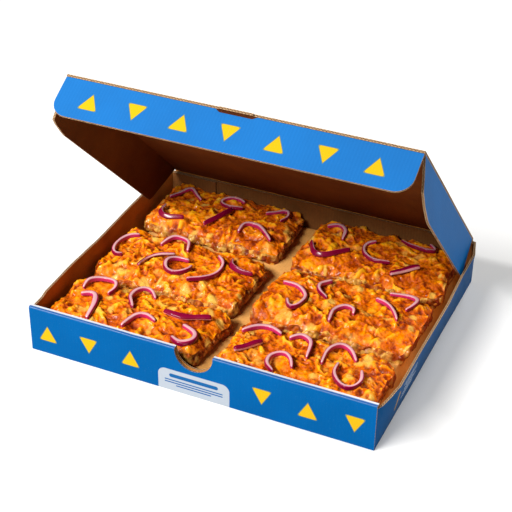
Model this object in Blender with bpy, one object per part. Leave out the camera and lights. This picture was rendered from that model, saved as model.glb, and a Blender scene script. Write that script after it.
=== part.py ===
"""Six rectangular slices of pizza on an insert board, in their open corrugated box.

Metres, +Z up. X runs along the box's front wall and Y from there to the hinge. The origin is
the middle of the box's underside. The lid stands open, and its three flaps are creased to it.
"""

import math

import bmesh
import bpy
from mathutils import Matrix, Vector

MM = 0.001
GAP = 0.3 * MM  # between pieces that touch
CORNER_STEPS = 6  # straight pieces in a board's rounded corner

# Tray
BOX_WIDTH = 0.330
BOX_DEPTH = 0.279
BOX_HEIGHT = 0.0465
BOARD = 0.002  # thickness of the corrugated board
FRONT_WALL = 0.0055  # two boards, rolled over at the top edge
CORNER_TAB_LEFT = 0.050  # reach of the tabs glued inside the back wall
CORNER_TAB_RIGHT = 0.046
TAB_END = 0.0002  # along the wall, where a tab's end steps back to the wall
SIDE_TOP_DROP = 0.0009  # how far the side walls' tops lie below the front ledge
FRONT_END_DROP = 0.003  # the same at their front ends
FRONT_END = 0.1  # share of the side wall's length that counts as its front end
FRONT_END_INSET = 0.001  # least distance of a side wall's inner stations from the front wall
# How far each side wall's top edge leans out, as (share of the way from front to back, lean)
RIGHT_LEAN = (
    (0.0, 0.0), (0.025, 0.003), (0.07, 0.0055), (0.12, 0.0085),
    (0.35, 0.0085), (0.60, 0.0085), (0.78, 0.0062), (0.92, 0.006),
)
LEFT_LEAN = (
    (0.0, 0.0), (0.13, 0.001), (0.28, 0.003), (0.46, 0.0026),
    (0.62, 0.0044), (0.72, 0.0056), (0.92, 0.006),
)

# Thumb notch in the front wall
NOTCH_RADIUS = 0.01815
NOTCH_X = -0.00115
NOTCH_CENTRE_Z = 0.0452
NOTCH_SLIT_REACH = 0.0045  # depth of the slit between the wall's two boards
NOTCH_SLIT_WIDTH = 0.0016
NOTCH_SIDES = 40

# Lid: closed, it lies just above the tray's rim, with its flaps hanging inside the walls
LID_OPEN = math.radians(44.1)
LID_WIDTH = 0.3234
LID_LENGTH = 0.273
HINGE_CLEARANCE = 0.0005
TAB_LEFT = -0.0164  # the short tab whose raw edge shows in the front crease
TAB_RIGHT = 0.0149
TAB_REACH = 0.0014

FRONT_FLAP_DEPTH = 0.039
FRONT_FLAP_TAPER = 0.0008  # how much each end leans in over the flap's depth
FRONT_FLAP_CORNER = 0.015
FRONT_FLAP_LEAN = math.radians(15.0)  # outwards of square to the lid
TAB_SLOT_DEPTH = 0.003
TAB_SLOT_PLAY = 0.0004  # beside the tab

SIDE_FLAP_DEPTH = 0.0435
SIDE_FLAP_SPLAY = math.radians(7.0)  # outwards of square to the lid
SIDE_FLAP_REAR = 0.006  # distances from the hinge along the lid
SIDE_FLAP_REAR_CORNER = 0.030
SIDE_FLAP_REAR_ROUND = 0.004
SIDE_FLAP_FRONT_ROUND = 0.016
SIDE_FLAP_FRONT = LID_LENGTH - 0.0035
# Each flap's slanting front edge: (how far its lower corner stops short of the lid's front,
# the same at its shoulder, the shoulder's depth)
RIGHT_FLAP_FRONT = (0.038, 0.0115, 0.024)
LEFT_FLAP_FRONT = (0.024, 0.0085, 0.034)

# Insert board that lifts the slices
INSERT_TOP_Z = 0.0187
INSERT_TOP_HALF_WIDTH = 0.151
INSERT_FOOT_HALF_WIDTH = 0.1588
INSERT_FRONT_Y = -0.1250
INSERT_BACK_Y = 0.1350

# Slices: corners of each dough's widest outline in millimetres, seen from above, in the order
# front left, front right, back right, back left
SLICES = {
    "back_left": ((-157.0, 58.5), (-8.5, 57.5), (-11.0, 134.0), (-156.5, 134.5)),
    "back_right": ((9.0, 49.5), (157.0, 52.0), (154.0, 133.5), (10.5, 134.0)),
    "middle_left": ((-157.0, -43.0), (-8.0, -44.0), (-5.5, 33.0), (-157.0, 34.5)),
    "middle_right": ((6.5, -43.0), (157.0, -39.0), (157.0, 37.0), (9.0, 35.5)),
    "front_left": ((-157.0, -126.0), (-9.0, -126.5), (-0.5, -57.5), (-157.0, -60.0)),
    "front_right": ((12.0, -126.5), (157.0, -126.0), (156.5, -60.5), (11.5, -61.5)),
}
DOUGH_HEIGHT = 0.0127
# The dough's profile as (share of its height, inset): a round foot, a wide middle, a cut top
DOUGH_LEVELS = ((0.0, 0.0022), (0.22, 0.0004), (0.6, 0.0), (1.0, 0.0012))
DOUGH_SIDES = (11, 6)  # faces along a slice's long and short edge
TOPPING_TOP_Z = 0.0362
TOPPING_SWELL = 0.0013  # rise and fall of its top
TOPPING_INSET = 0.0008
TOPPING_EDGE_DROP = 0.0024
TOPPING_EDGE_BAND = 0.006
TOPPING_GRID = (16, 9)
SQUARENESS = 13.0  # power of the outlines' rounded corners: higher is squarer
SMOOTH_ANGLE = math.radians(50)

# Red onion strips: (width, height, points of its route over the slices) in millimetres
THIN, MID, THICK = 2.6, 3.4, 5.0
LOW, HIGH = 3.0, 3.9
ONIONS = (
    (MID, LOW, ((-149, 102), (-142, 117), (-135, 126), (-128, 119), (-117, 109))),
    (MID, LOW, ((-74, 123), (-84, 126), (-95, 120), (-95, 111), (-84, 108), (-71, 112))),
    (MID, HIGH, ((-145, 85), (-144, 72), (-135, 63), (-116, 68))),
    (MID, HIGH, ((-80, 105), (-84, 88), (-94, 69))),
    (THIN, LOW, ((-45, 112), (-29, 126), (-23, 118), (-27, 107))),
    (MID, HIGH, ((-56, 69), (-55, 84), (-40, 86), (-21, 67))),
    (MID, LOW, ((20, 117), (30, 122), (40, 115), (42, 101))),
    (MID, HIGH, ((16, 83), (26, 66), (38, 66), (56, 84))),
    (MID, LOW, ((74, 109), (66, 100), (71, 84), (84, 78), (98, 81))),
    (THIN, LOW, ((95, 124), (108, 118), (126, 115), (132, 119), (123, 129))),
    (THICK, HIGH, ((105, 62), (127, 83))),
    (MID, HIGH, ((-114, 16), (-109, 31), (-100, 34), (-90, 29), (-84, 14))),
    (MID, HIGH, ((-140, 21), (-151, 14), (-153, -6), (-147, -18), (-139, -16))),
    (MID, HIGH, ((-93, 5), (-108, -5), (-115, -14), (-116, -27))),
    (MID, HIGH, ((-76, 1), (-90, -1), (-94, -12), (-88, -23), (-76, -23), (-69, -14), (-70, -6))),
    (MID, HIGH, ((-53, 19), (-43, 8), (-42, -7), (-50, -22), (-63, -30))),
    (MID, HIGH, ((-39, 20), (-36, 10), (-26, 5), (-12, 6))),
    (MID, HIGH, ((20, 6), (36, 4), (48, -7), (47, -24), (40, -29), (34, -19))),
    (MID, HIGH, ((60, 28), (52, 17), (55, 7), (66, -2))),
    (MID, HIGH, ((81, -34), (79, -16), (87, -6), (96, -8), (97, -14))),
    (THIN, HIGH, ((108, 16), (120, 12), (130, 2), (136, -8))),
    (MID, LOW, ((116, 32), (130, 34), (143, 31), (143, 21), (138, 12))),
    (MID, HIGH, ((-143, -82), (-144, -71), (-135, -62), (-121, -62), (-115, -71), (-118, -80))),
    (MID, HIGH, ((-87, -91), (-97, -76), (-95, -62), (-85, -58), (-75, -69))),
    (THICK, HIGH, ((-140, -91), (-129, -86), (-120, -101), (-116, -122))),
    (MID, HIGH, ((-82, -120), (-79, -102), (-70, -96), (-58, -102))),
    (THICK, HIGH, ((-58, -84), (-40, -86), (-15, -76))),
    (THICK, HIGH, ((-33, -95), (-18, -102), (-15, -114), (-24, -121), (-35, -115))),
    (MID, HIGH, ((18, -81), (27, -69), (38, -65), (51, -71))),
    (MID, HIGH, ((60, -73), (69, -65), (80, -72), (84, -92))),
    (MID, HIGH, ((98, -93), (97, -76), (105, -64), (116, -67), (124, -78))),
    (THICK, HIGH, ((23, -109), (31, -101), (41, -89))),
    (MID, HIGH, ((65, -123), (56, -115), (55, -103), (65, -96), (74, -103), (78, -111))),
    (MID, HIGH, ((112, -89), (113, -103), (123, -116), (133, -117), (139, -106), (134, -91))),
)
STRIP_STEP = 0.0042  # spacing of the sections along a strip
STRIP_CLEARANCE = 0.0005  # under a strip, above the highest topping beside it
STRIP_LOOK_AROUND = 0.002  # how far beside a strip that highest topping is sought
STRIP_END_WIDTH = 0.5  # share of the full width
# The cut top's two edges, on the route's right and left: (share of height, inset in half widths)
STRIP_RIGHT_TOP = (0.8, 0.1)
STRIP_LEFT_TOP = (1.0, 0.15)

KRAFT = (0.56, 0.33, 0.15)
PRINT_BLUE = (0.0, 0.16, 0.52)
CRUST = (0.55, 0.25, 0.06)
SAUCED_TOPPING = (0.85, 0.33, 0.03)
ONION_SKIN = (0.36, 0.01, 0.12)


def clear_scene():
    for obj in list(bpy.data.objects):
        bpy.data.objects.remove(obj)


def new_collection(name, rendered=True):
    collection = bpy.data.collections.new(name)
    bpy.context.scene.collection.children.link(collection)
    collection.hide_render = not rendered
    return collection


def new_material(name, colour, roughness):
    material = bpy.data.materials.new(name)
    material.use_nodes = True
    shader = material.node_tree.nodes["Principled BSDF"]
    shader.inputs["Base Color"].default_value = (*colour, 1.0)
    shader.inputs["Roughness"].default_value = roughness
    shader.inputs["Metallic"].default_value = 0.0
    return material


def add_object(name, data, collection, materials=(), parent=None):
    obj = bpy.data.objects.new(name, data)
    collection.objects.link(obj)
    for material in materials:
        data.materials.append(material)
    obj.parent = parent
    return obj


def mesh_from(name, shape):
    """Turns a bmesh into mesh data with its faces pointing out."""
    bmesh.ops.recalc_face_normals(shape, faces=shape.faces)
    mesh = bpy.data.meshes.new(name)
    shape.to_mesh(mesh)
    shape.free()
    return mesh


def add_hinge(name, location, rotation, collection, parent=None):
    """An empty on a joint's axis, which the moving piece hangs on."""
    hinge = add_object(name, None, collection, parent=parent)
    hinge.empty_display_size = 0.02
    hinge.location = location
    hinge.rotation_euler = rotation
    return hinge


def loft(shape, rings):
    """Joins equal rings of points one after the other, and closes the first and the last."""
    loops = [[shape.verts.new(point) for point in ring] for ring in rings]
    for lower, upper in zip(loops, loops[1:]):
        for i, corner in enumerate(lower):
            after = (i + 1) % len(lower)
            shape.faces.new((corner, lower[after], upper[after], upper[i]))
    shape.faces.new(reversed(loops[0]))
    shape.faces.new(loops[-1])


def rounded_outline(corners):
    """Points of a flat outline. Each corner is (x, y, radius), cut by a tangent curve."""
    points = []
    count = len(corners)
    for i, (x, y, radius) in enumerate(corners):
        here = Vector((x, y))
        if not radius:
            points.append(here)
            continue
        before = (Vector(corners[i - 1][:2]) - here).normalized()
        after = (Vector(corners[(i + 1) % count][:2]) - here).normalized()
        reach = radius / math.tan(before.angle(after) / 2)
        start, end = here + before * reach, here + after * reach
        for step in range(CORNER_STEPS + 1):
            t = step / CORNER_STEPS
            points.append(start * (1 - t) ** 2 + here * 2 * t * (1 - t) + end * t * t)
    return points


def flat_board(name, outline, materials, collection, parent):
    """A board cut to an outline: a filled flat curve, extruded to the board's thickness."""
    curve = bpy.data.curves.new(name, "CURVE")
    curve.dimensions = "2D"
    curve.fill_mode = "BOTH"
    curve.extrude = BOARD / 2
    spline = curve.splines.new("POLY")
    spline.points.add(len(outline) - 1)
    for point, (x, y) in zip(spline.points, outline):
        point.co = (x, y, 0.0, 1.0)
    spline.use_cyclic_u = True
    return add_object(name, curve, collection, materials, parent)


# ---------------------------------------------------------------- tray


def tray_stations():
    """The wall's four corners at each place round the tray, as (outer, inner, lean, top)."""
    half_width, half_depth = BOX_WIDTH / 2, BOX_DEPTH / 2
    back_inner = half_depth - BOARD
    tab_inner = back_inner - BOARD
    front_inner = -half_depth + FRONT_WALL
    inner_x = half_width - BOARD
    left_tab, right_tab = -inner_x + CORNER_TAB_LEFT, inner_x - CORNER_TAB_RIGHT
    back = (
        (half_width, inner_x, tab_inner),
        (right_tab + TAB_END, right_tab + TAB_END, tab_inner),
        (right_tab, right_tab, back_inner),
        (left_tab, left_tab, back_inner),
        (left_tab - TAB_END, left_tab - TAB_END, tab_inner),
        (-half_width, -inner_x, tab_inner),
    )
    stations = []
    for outer_x, wall_x, inner_y in back:
        stations.append(((outer_x, half_depth), (wall_x, inner_y), 0.0, BOX_HEIGHT))

    def side(profile, sign):
        walls = []
        for share, lean in profile[1:]:
            y = -half_depth + share * BOX_DEPTH
            top = BOX_HEIGHT - (FRONT_END_DROP if share < FRONT_END else SIDE_TOP_DROP)
            inner_y = max(y, front_inner + FRONT_END_INSET)
            walls.append(((sign * half_width, y), (sign * inner_x, inner_y), sign * lean, top))
        return walls

    stations += reversed(side(LEFT_LEAN, -1))
    stations.append(((-half_width, -half_depth), (-inner_x, front_inner), 0.0, BOX_HEIGHT))
    stations.append(((half_width, -half_depth), (inner_x, front_inner), 0.0, BOX_HEIGHT))
    stations += side(RIGHT_LEAN, 1)
    return stations


def build_tray(collection, cutters, printed):
    stations = tray_stations()
    rings = (
        [Vector((*outer, 0.0)) for outer, _, _, _ in stations],
        [Vector((outer[0] + lean, outer[1], top)) for outer, _, lean, top in stations],
        [Vector((inner[0] + lean, inner[1], top)) for _, inner, lean, top in stations],
        [Vector((*inner, BOARD)) for _, inner, _, _ in stations],
    )
    shape = bmesh.new()
    loft(shape, rings)
    tray = add_object("tray", mesh_from("tray", shape), collection, (printed,))

    front_y = -BOX_DEPTH / 2
    notch = drum(NOTCH_RADIUS, 4 * FRONT_WALL)
    slit = drum(NOTCH_RADIUS + NOTCH_SLIT_REACH, NOTCH_SLIT_WIDTH)
    # The slit stops below the wall's rolled top edge.
    trim_above(slit, BOX_HEIGHT - BOARD - NOTCH_CENTRE_Z)
    for name, shape, y in (
        ("notch_cutter", notch, front_y),
        ("slit_cutter", slit, front_y + FRONT_WALL / 2),
    ):
        cutter = add_object(name, mesh_from(name, shape), cutters)
        cutter.location = (NOTCH_X, y, NOTCH_CENTRE_Z)
        cutter.hide_render = True
        cutter.display_type = "WIRE"
        cut = tray.modifiers.new(name, "BOOLEAN")
        cut.operation = "DIFFERENCE"
        cut.solver = "EXACT"
        cut.object = cutter


def drum(radius, width):
    """A closed cylinder lying along Y."""
    lying = Matrix.Rotation(math.pi / 2, 4, "X")
    shape = bmesh.new()
    bmesh.ops.create_cone(
        shape,
        cap_ends=True,
        segments=NOTCH_SIDES,
        radius1=radius,
        radius2=radius,
        depth=width,
        matrix=lying,
    )
    return shape


def trim_above(shape, ceiling):
    """Cuts a solid off flat at a height and closes the cut."""
    cut = bmesh.ops.bisect_plane(
        shape,
        geom=shape.verts[:] + shape.edges[:] + shape.faces[:],
        plane_co=(0, 0, ceiling),
        plane_no=(0, 0, 1),
        clear_outer=True,
    )
    edges = [item for item in cut["geom_cut"] if isinstance(item, bmesh.types.BMEdge)]
    bmesh.ops.edgeloop_fill(shape, edges=edges)


def build_insert(collection, board):
    """The insert's raised top and its two sloping sides, solid underneath."""
    foot_z = BOARD + GAP
    section = (
        (-INSERT_FOOT_HALF_WIDTH, foot_z),
        (INSERT_FOOT_HALF_WIDTH, foot_z),
        (INSERT_TOP_HALF_WIDTH, INSERT_TOP_Z),
        (-INSERT_TOP_HALF_WIDTH, INSERT_TOP_Z),
    )
    shape = bmesh.new()
    loft(shape, [[(x, y, z) for x, z in section] for y in (INSERT_FRONT_Y, INSERT_BACK_Y)])
    add_object("insert_board", mesh_from("insert_board", shape), collection, (board,))


# ---------------------------------------------------------------- lid


def build_lid(collection, printed):
    half_width = LID_WIDTH / 2
    hinge_at = (0.0, BOX_DEPTH / 2, BOX_HEIGHT + GAP)
    hinge = add_hinge("lid_hinge", hinge_at, (-LID_OPEN, 0.0, 0.0), collection)

    # Outlines run along the lid as distances from the hinge, towards the front.
    front = -LID_LENGTH
    panel_outline = rounded_outline(
        (
            (-half_width, -HINGE_CLEARANCE, 0),
            (-half_width, front, 0),
            (TAB_LEFT, front, 0),
            (TAB_LEFT, front - TAB_REACH, 0),
            (TAB_RIGHT, front - TAB_REACH, 0),
            (TAB_RIGHT, front, 0),
            (half_width, front, 0),
            (half_width, -HINGE_CLEARANCE, 0),
        )
    )
    panel = flat_board("lid_panel", panel_outline, (printed,), collection, hinge)
    panel.location = (0.0, 0.0, BOARD / 2)

    build_front_flap(collection, printed, hinge)
    build_side_flap("lid_left_flap", -1, LEFT_FLAP_FRONT, collection, printed, hinge)
    build_side_flap("lid_right_flap", 1, RIGHT_FLAP_FRONT, collection, printed, hinge)


def build_front_flap(collection, printed, lid_hinge):
    crease = add_hinge(
        "front_flap_hinge",
        (0.0, -LID_LENGTH, 0.0),
        (-FRONT_FLAP_LEAN, 0.0, 0.0),
        collection,
        lid_hinge,
    )
    half_width = LID_WIDTH / 2 - GAP
    lower_half = half_width - FRONT_FLAP_TAPER
    slot_left, slot_right = TAB_LEFT - TAB_SLOT_PLAY, TAB_RIGHT + TAB_SLOT_PLAY
    outline = rounded_outline(
        (
            (-half_width, -GAP, 0),
            (-lower_half, -FRONT_FLAP_DEPTH, FRONT_FLAP_CORNER),
            (lower_half, -FRONT_FLAP_DEPTH, FRONT_FLAP_CORNER),
            (half_width, -GAP, 0),
            (slot_right, -GAP, 0),
            (slot_right, -TAB_SLOT_DEPTH, 0),
            (slot_left, -TAB_SLOT_DEPTH, 0),
            (slot_left, -GAP, 0),
        )
    )
    flap = flat_board("lid_front_flap", outline, (printed,), collection, crease)
    flap.rotation_euler = (math.pi / 2, 0.0, 0.0)
    flap.location = (0.0, BOARD / 2, 0.0)


def build_side_flap(name, sign, front_edge, collection, printed, lid_hinge):
    corner_short, shoulder_short, shoulder_depth = front_edge
    crease = add_hinge(
        name + "_hinge",
        (sign * LID_WIDTH / 2, 0.0, 0.0),
        (0.0, -sign * SIDE_FLAP_SPLAY, 0.0),
        collection,
        lid_hinge,
    )
    outline = rounded_outline(
        (
            (SIDE_FLAP_REAR, GAP, 0),
            (SIDE_FLAP_REAR_CORNER, SIDE_FLAP_DEPTH, SIDE_FLAP_REAR_ROUND),
            (LID_LENGTH - corner_short, SIDE_FLAP_DEPTH, SIDE_FLAP_FRONT_ROUND),
            (LID_LENGTH - shoulder_short, shoulder_depth, SIDE_FLAP_FRONT_ROUND),
            (SIDE_FLAP_FRONT, GAP, 0),
        )
    )
    flap = flat_board(name, outline, (printed,), collection, crease)
    # The outline's X runs along the lid to the front and its Y down the flap.
    flap.rotation_euler = (math.pi / 2, math.pi, math.pi / 2)
    flap.location = (-sign * BOARD / 2, 0.0, 0.0)


# ---------------------------------------------------------------- slices


def slice_size(corners):
    """A slice's mean width and mean depth."""
    front_left, front_right, back_right, back_left = (Vector(corner) * MM for corner in corners)
    width = ((front_right - front_left).length + (back_right - back_left).length) / 2
    depth = ((back_left - front_left).length + (back_right - front_right).length) / 2
    return width, depth


def slice_point(corners, u, v, inset=0.0):
    """A place on a slice, for u and v from -1 to 1, inset from its rounded outline."""
    if u or v:
        power_sum = abs(u) ** SQUARENESS + abs(v) ** SQUARENESS
        squeeze = max(abs(u), abs(v)) / power_sum ** (1 / SQUARENESS)
        u, v = u * squeeze, v * squeeze
    front_left, front_right, back_right, back_left = (Vector(corner) * MM for corner in corners)
    width, depth = slice_size(corners)
    u *= 1 - 2 * inset / width
    v *= 1 - 2 * inset / depth
    front = front_left.lerp(front_right, (u + 1) / 2)
    back = back_left.lerp(back_right, (u + 1) / 2)
    return front.lerp(back, (v + 1) / 2)


def outline_places(across, along):
    """Places round the edge of the square from -1 to 1, anticlockwise from the front left."""
    bottom = [(-1 + 2 * i / across, -1.0) for i in range(across)]
    right = [(1.0, -1 + 2 * i / along) for i in range(along)]
    top = [(1 - 2 * i / across, 1.0) for i in range(across)]
    left = [(-1.0, 1 - 2 * i / along) for i in range(along)]
    return bottom + right + top + left


def topping_height(x, y):
    """The topping's upper surface: uneven swells over the slices' common level."""
    across = math.sin(x / 0.0097 + 1.7 * math.sin(y / 0.017))
    along = math.cos(y / 0.0083 + 1.3 * math.sin(x / 0.021))
    return TOPPING_TOP_Z + TOPPING_SWELL * across * along


def build_dough(name, corners, collection, crust):
    bottom_z = INSERT_TOP_Z + GAP
    places = outline_places(*DOUGH_SIDES)
    rings = []
    for share, inset in DOUGH_LEVELS:
        z = bottom_z + share * DOUGH_HEIGHT
        rings.append([(*slice_point(corners, u, v, inset), z) for u, v in places])
    shape = bmesh.new()
    loft(shape, rings)
    dough = add_object(name, mesh_from(name, shape), collection, (crust,))
    dough.data.shade_smooth()
    dough.data.set_sharp_from_angle(angle=SMOOTH_ANGLE)


def build_topping(name, corners, collection, topping):
    """Sauce, cheese and chicken in one layer: a swelling top on a flat underside."""
    across, along = TOPPING_GRID
    width, depth = slice_size(corners)
    underside_z = INSERT_TOP_Z + GAP + DOUGH_HEIGHT + GAP
    shape = bmesh.new()
    bmesh.ops.create_grid(shape, x_segments=across, y_segments=along, size=1.0)
    for vert in shape.verts:
        u, v = vert.co.x, vert.co.y
        place = slice_point(corners, u, v, TOPPING_INSET)
        edge = min((1 - abs(u)) * width / 2, (1 - abs(v)) * depth / 2)
        drop = TOPPING_EDGE_DROP * math.exp(-((edge / TOPPING_EDGE_BAND) ** 2))
        vert.co = (*place, topping_height(*place) - drop)
    rim = [edge for edge in shape.edges if edge.is_boundary]
    skirt = bmesh.ops.extrude_edge_only(shape, edges=rim)
    for item in skirt["geom"]:
        if isinstance(item, bmesh.types.BMVert):
            item.co.z = underside_z
    lower = [edge for edge in shape.edges if edge.is_boundary]
    bmesh.ops.edgeloop_fill(shape, edges=lower)
    layer = add_object(name, mesh_from(name, shape), collection, (topping,))
    layer.data.shade_smooth()
    layer.data.set_sharp_from_angle(angle=SMOOTH_ANGLE)


# ---------------------------------------------------------------- onion


def smooth_route(points):
    """A Catmull-Rom curve through the points, at roughly even steps of its length."""
    around = [2 * points[0] - points[1], *points, 2 * points[-1] - points[-2]]
    route = []
    for before, start, end, after in zip(around, around[1:], around[2:], around[3:]):
        steps = max(1, round((end - start).length / STRIP_STEP))
        for i in range(steps):
            t = i / steps
            linear = (end - before) * t
            square = (2 * before - 5 * start + 4 * end - after) * t**2
            cube = (3 * start - before - 3 * end + after) * t**3
            route.append(start + (linear + square + cube) / 2)
    return [*route, points[-1]]


def build_onion(name, width, height, points, collection, skin):
    """A curved strip whose ends narrow, lying on the topping, with a slanting cut top."""
    route = smooth_route([Vector(point) * MM for point in points])
    right_share, right_inset = STRIP_RIGHT_TOP
    left_share, left_inset = STRIP_LEFT_TOP
    rings = []
    for i, place in enumerate(route):
        ahead = route[min(i + 1, len(route) - 1)] - route[max(i - 1, 0)]
        side = Vector((-ahead.y, ahead.x)).normalized()
        share = i / (len(route) - 1)
        fullness = 2 * math.sqrt(share * (1 - share))
        half = width * MM / 2 * (STRIP_END_WIDTH + (1 - STRIP_END_WIDTH) * fullness)
        reach = half + STRIP_LOOK_AROUND
        beside = [place + side * reach * k for k in (-1, -0.5, 0, 0.5, 1)]
        low = max(topping_height(*spot) for spot in beside) + STRIP_CLEARANCE
        left, right = place + side * half, place - side * half
        rings.append(
            (
                (*left, low),
                (*right, low),
                (*right.lerp(place, right_inset), low + height * MM * right_share),
                (*left.lerp(place, left_inset), low + height * MM * left_share),
            )
        )
    shape = bmesh.new()
    loft(shape, rings)
    add_object(name, mesh_from(name, shape), collection, (skin,))


def main():
    clear_scene()
    parts = new_collection("pizza_box")
    cutters = new_collection("cutters", rendered=False)
    board = new_material("kraft_board", KRAFT, 0.85)
    printed = new_material("printed_board", PRINT_BLUE, 0.55)
    crust = new_material("baked_crust", CRUST, 0.7)
    topping = new_material("sauced_topping", SAUCED_TOPPING, 0.45)
    skin = new_material("red_onion", ONION_SKIN, 0.35)

    build_tray(parts, cutters, printed)
    build_insert(parts, board)
    build_lid(parts, printed)
    for name, corners in SLICES.items():
        build_dough("dough_" + name, corners, parts, crust)
        build_topping("topping_" + name, corners, parts, topping)
    for number, (width, height, points) in enumerate(ONIONS, start=1):
        build_onion(f"onion_{number:02d}", width, height, points, parts, skin)


main()
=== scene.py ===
"""Looks for the pizza in its open box: printed corrugated board, kraft insert, six topped slices.

Metres, +Z up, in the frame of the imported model. Every new piece is a grid of points worked out
as whole arrays: a shape is a function of two parameters, or a profile carried along a path.
"""

import math

import bpy
import numpy as np
from mathutils import Matrix, Vector


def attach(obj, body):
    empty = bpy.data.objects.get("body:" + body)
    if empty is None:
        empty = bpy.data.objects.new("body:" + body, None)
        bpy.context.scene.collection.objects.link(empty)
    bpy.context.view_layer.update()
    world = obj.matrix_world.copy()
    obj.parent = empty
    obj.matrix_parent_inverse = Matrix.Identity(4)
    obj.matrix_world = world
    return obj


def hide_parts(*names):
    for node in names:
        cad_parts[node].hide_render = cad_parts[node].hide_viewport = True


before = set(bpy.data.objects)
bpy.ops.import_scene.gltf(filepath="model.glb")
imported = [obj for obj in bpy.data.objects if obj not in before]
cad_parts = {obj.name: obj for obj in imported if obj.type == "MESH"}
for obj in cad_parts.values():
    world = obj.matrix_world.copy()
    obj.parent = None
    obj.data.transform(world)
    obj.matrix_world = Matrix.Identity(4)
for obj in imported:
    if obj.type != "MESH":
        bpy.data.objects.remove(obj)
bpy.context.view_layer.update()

MM = 0.001
GAP = 0.3 * MM
TAU = 2 * math.pi

# ---------------------------------------------------------------- sizes, as in the part

BOX_WIDTH, BOX_DEPTH, BOX_HEIGHT = 0.330, 0.279, 0.0465
BOARD = 0.002
FRONT_WALL = 0.0055
CORNER_TAB_LEFT, CORNER_TAB_RIGHT = 0.050, 0.046
SIDE_TOP_DROP, FRONT_END_DROP = 0.0009, 0.003
# Lean of each side wall's top: (share of the depth from the front, metres outwards)
RIGHT_LEAN = (
    (0.0, 0.0), (0.025, 0.003), (0.07, 0.0055), (0.12, 0.0085),
    (0.35, 0.0085), (0.60, 0.0085), (0.78, 0.0062), (0.92, 0.006), (1.0, 0.0),
)
LEFT_LEAN = (
    (0.0, 0.0), (0.13, 0.001), (0.28, 0.003), (0.46, 0.0026),
    (0.62, 0.0044), (0.72, 0.0056), (0.92, 0.006), (1.0, 0.0),
)
NOTCH_RADIUS, NOTCH_X, NOTCH_CENTRE_Z = 0.01815, -0.00115, 0.0452  # the thumb notch

LID_OPEN = math.radians(44.1)
LID_WIDTH, LID_LENGTH = 0.3234, 0.273
HINGE = (0.0, BOX_DEPTH / 2, BOX_HEIGHT + GAP)
HINGE_CLEARANCE = 0.0005
TAB_LEFT, TAB_RIGHT, TAB_REACH = -0.0164, 0.0149, 0.0014
FRONT_FLAP_DEPTH, FRONT_FLAP_CORNER = 0.039, 0.015
FRONT_FLAP_LEAN = math.radians(15.0)
SIDE_FLAP_DEPTH = 0.0435
SIDE_FLAP_SPLAY = math.radians(7.0)
SIDE_FLAP_REAR, SIDE_FLAP_REAR_CORNER = 0.006, 0.030
SIDE_FLAP_FRONT = LID_LENGTH - 0.0035
# Front edge of each side flap: its corner and its shoulder, both short of the lid's front, and
# the depth at the shoulder
RIGHT_FLAP_FRONT = (0.038, 0.0115, 0.024)
LEFT_FLAP_FRONT = (0.024, 0.0085, 0.034)

INSERT_TOP_Z, INSERT_TOP_HALF_WIDTH, INSERT_FOOT_HALF_WIDTH = 0.0187, 0.151, 0.1588
INSERT_FRONT_Y, INSERT_BACK_Y = -0.1250, 0.1350

# Corners of each slice in millimetres: front left, front right, back right, back left
SLICES = {
    "back_left": ((-157.0, 58.5), (-8.5, 57.5), (-11.0, 134.0), (-156.5, 134.5)),
    "back_right": ((9.0, 49.5), (157.0, 52.0), (154.0, 133.5), (10.5, 134.0)),
    "middle_left": ((-157.0, -43.0), (-8.0, -44.0), (-5.5, 33.0), (-157.0, 34.5)),
    "middle_right": ((6.5, -43.0), (157.0, -39.0), (157.0, 37.0), (9.0, 35.5)),
    "front_left": ((-157.0, -126.0), (-9.0, -126.5), (-0.5, -57.5), (-157.0, -60.0)),
    "front_right": ((12.0, -126.5), (157.0, -126.0), (156.5, -60.5), (11.5, -61.5)),
}
DOUGH_BOTTOM_Z = INSERT_TOP_Z + GAP
DOUGH_HEIGHT = 0.0127
TOPPING_TOP_Z, TOPPING_SWELL = 0.0362, 0.0013
SQUARENESS = 13.0  # of a slice's outline: 2 is an oval, more has sharper corners
# Limits that keep the toppings clear of the closed lid's flaps. The front one leans with height.
CLEAR_X, CLEAR_Y, CLEAR_LEAN = 0.1584, -0.1254, 0.14
CLEAR_LOW_Z, CLEAR_HIGH_Z, CLEAR_SOFT = 0.008, 0.05, 0.0025

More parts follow.
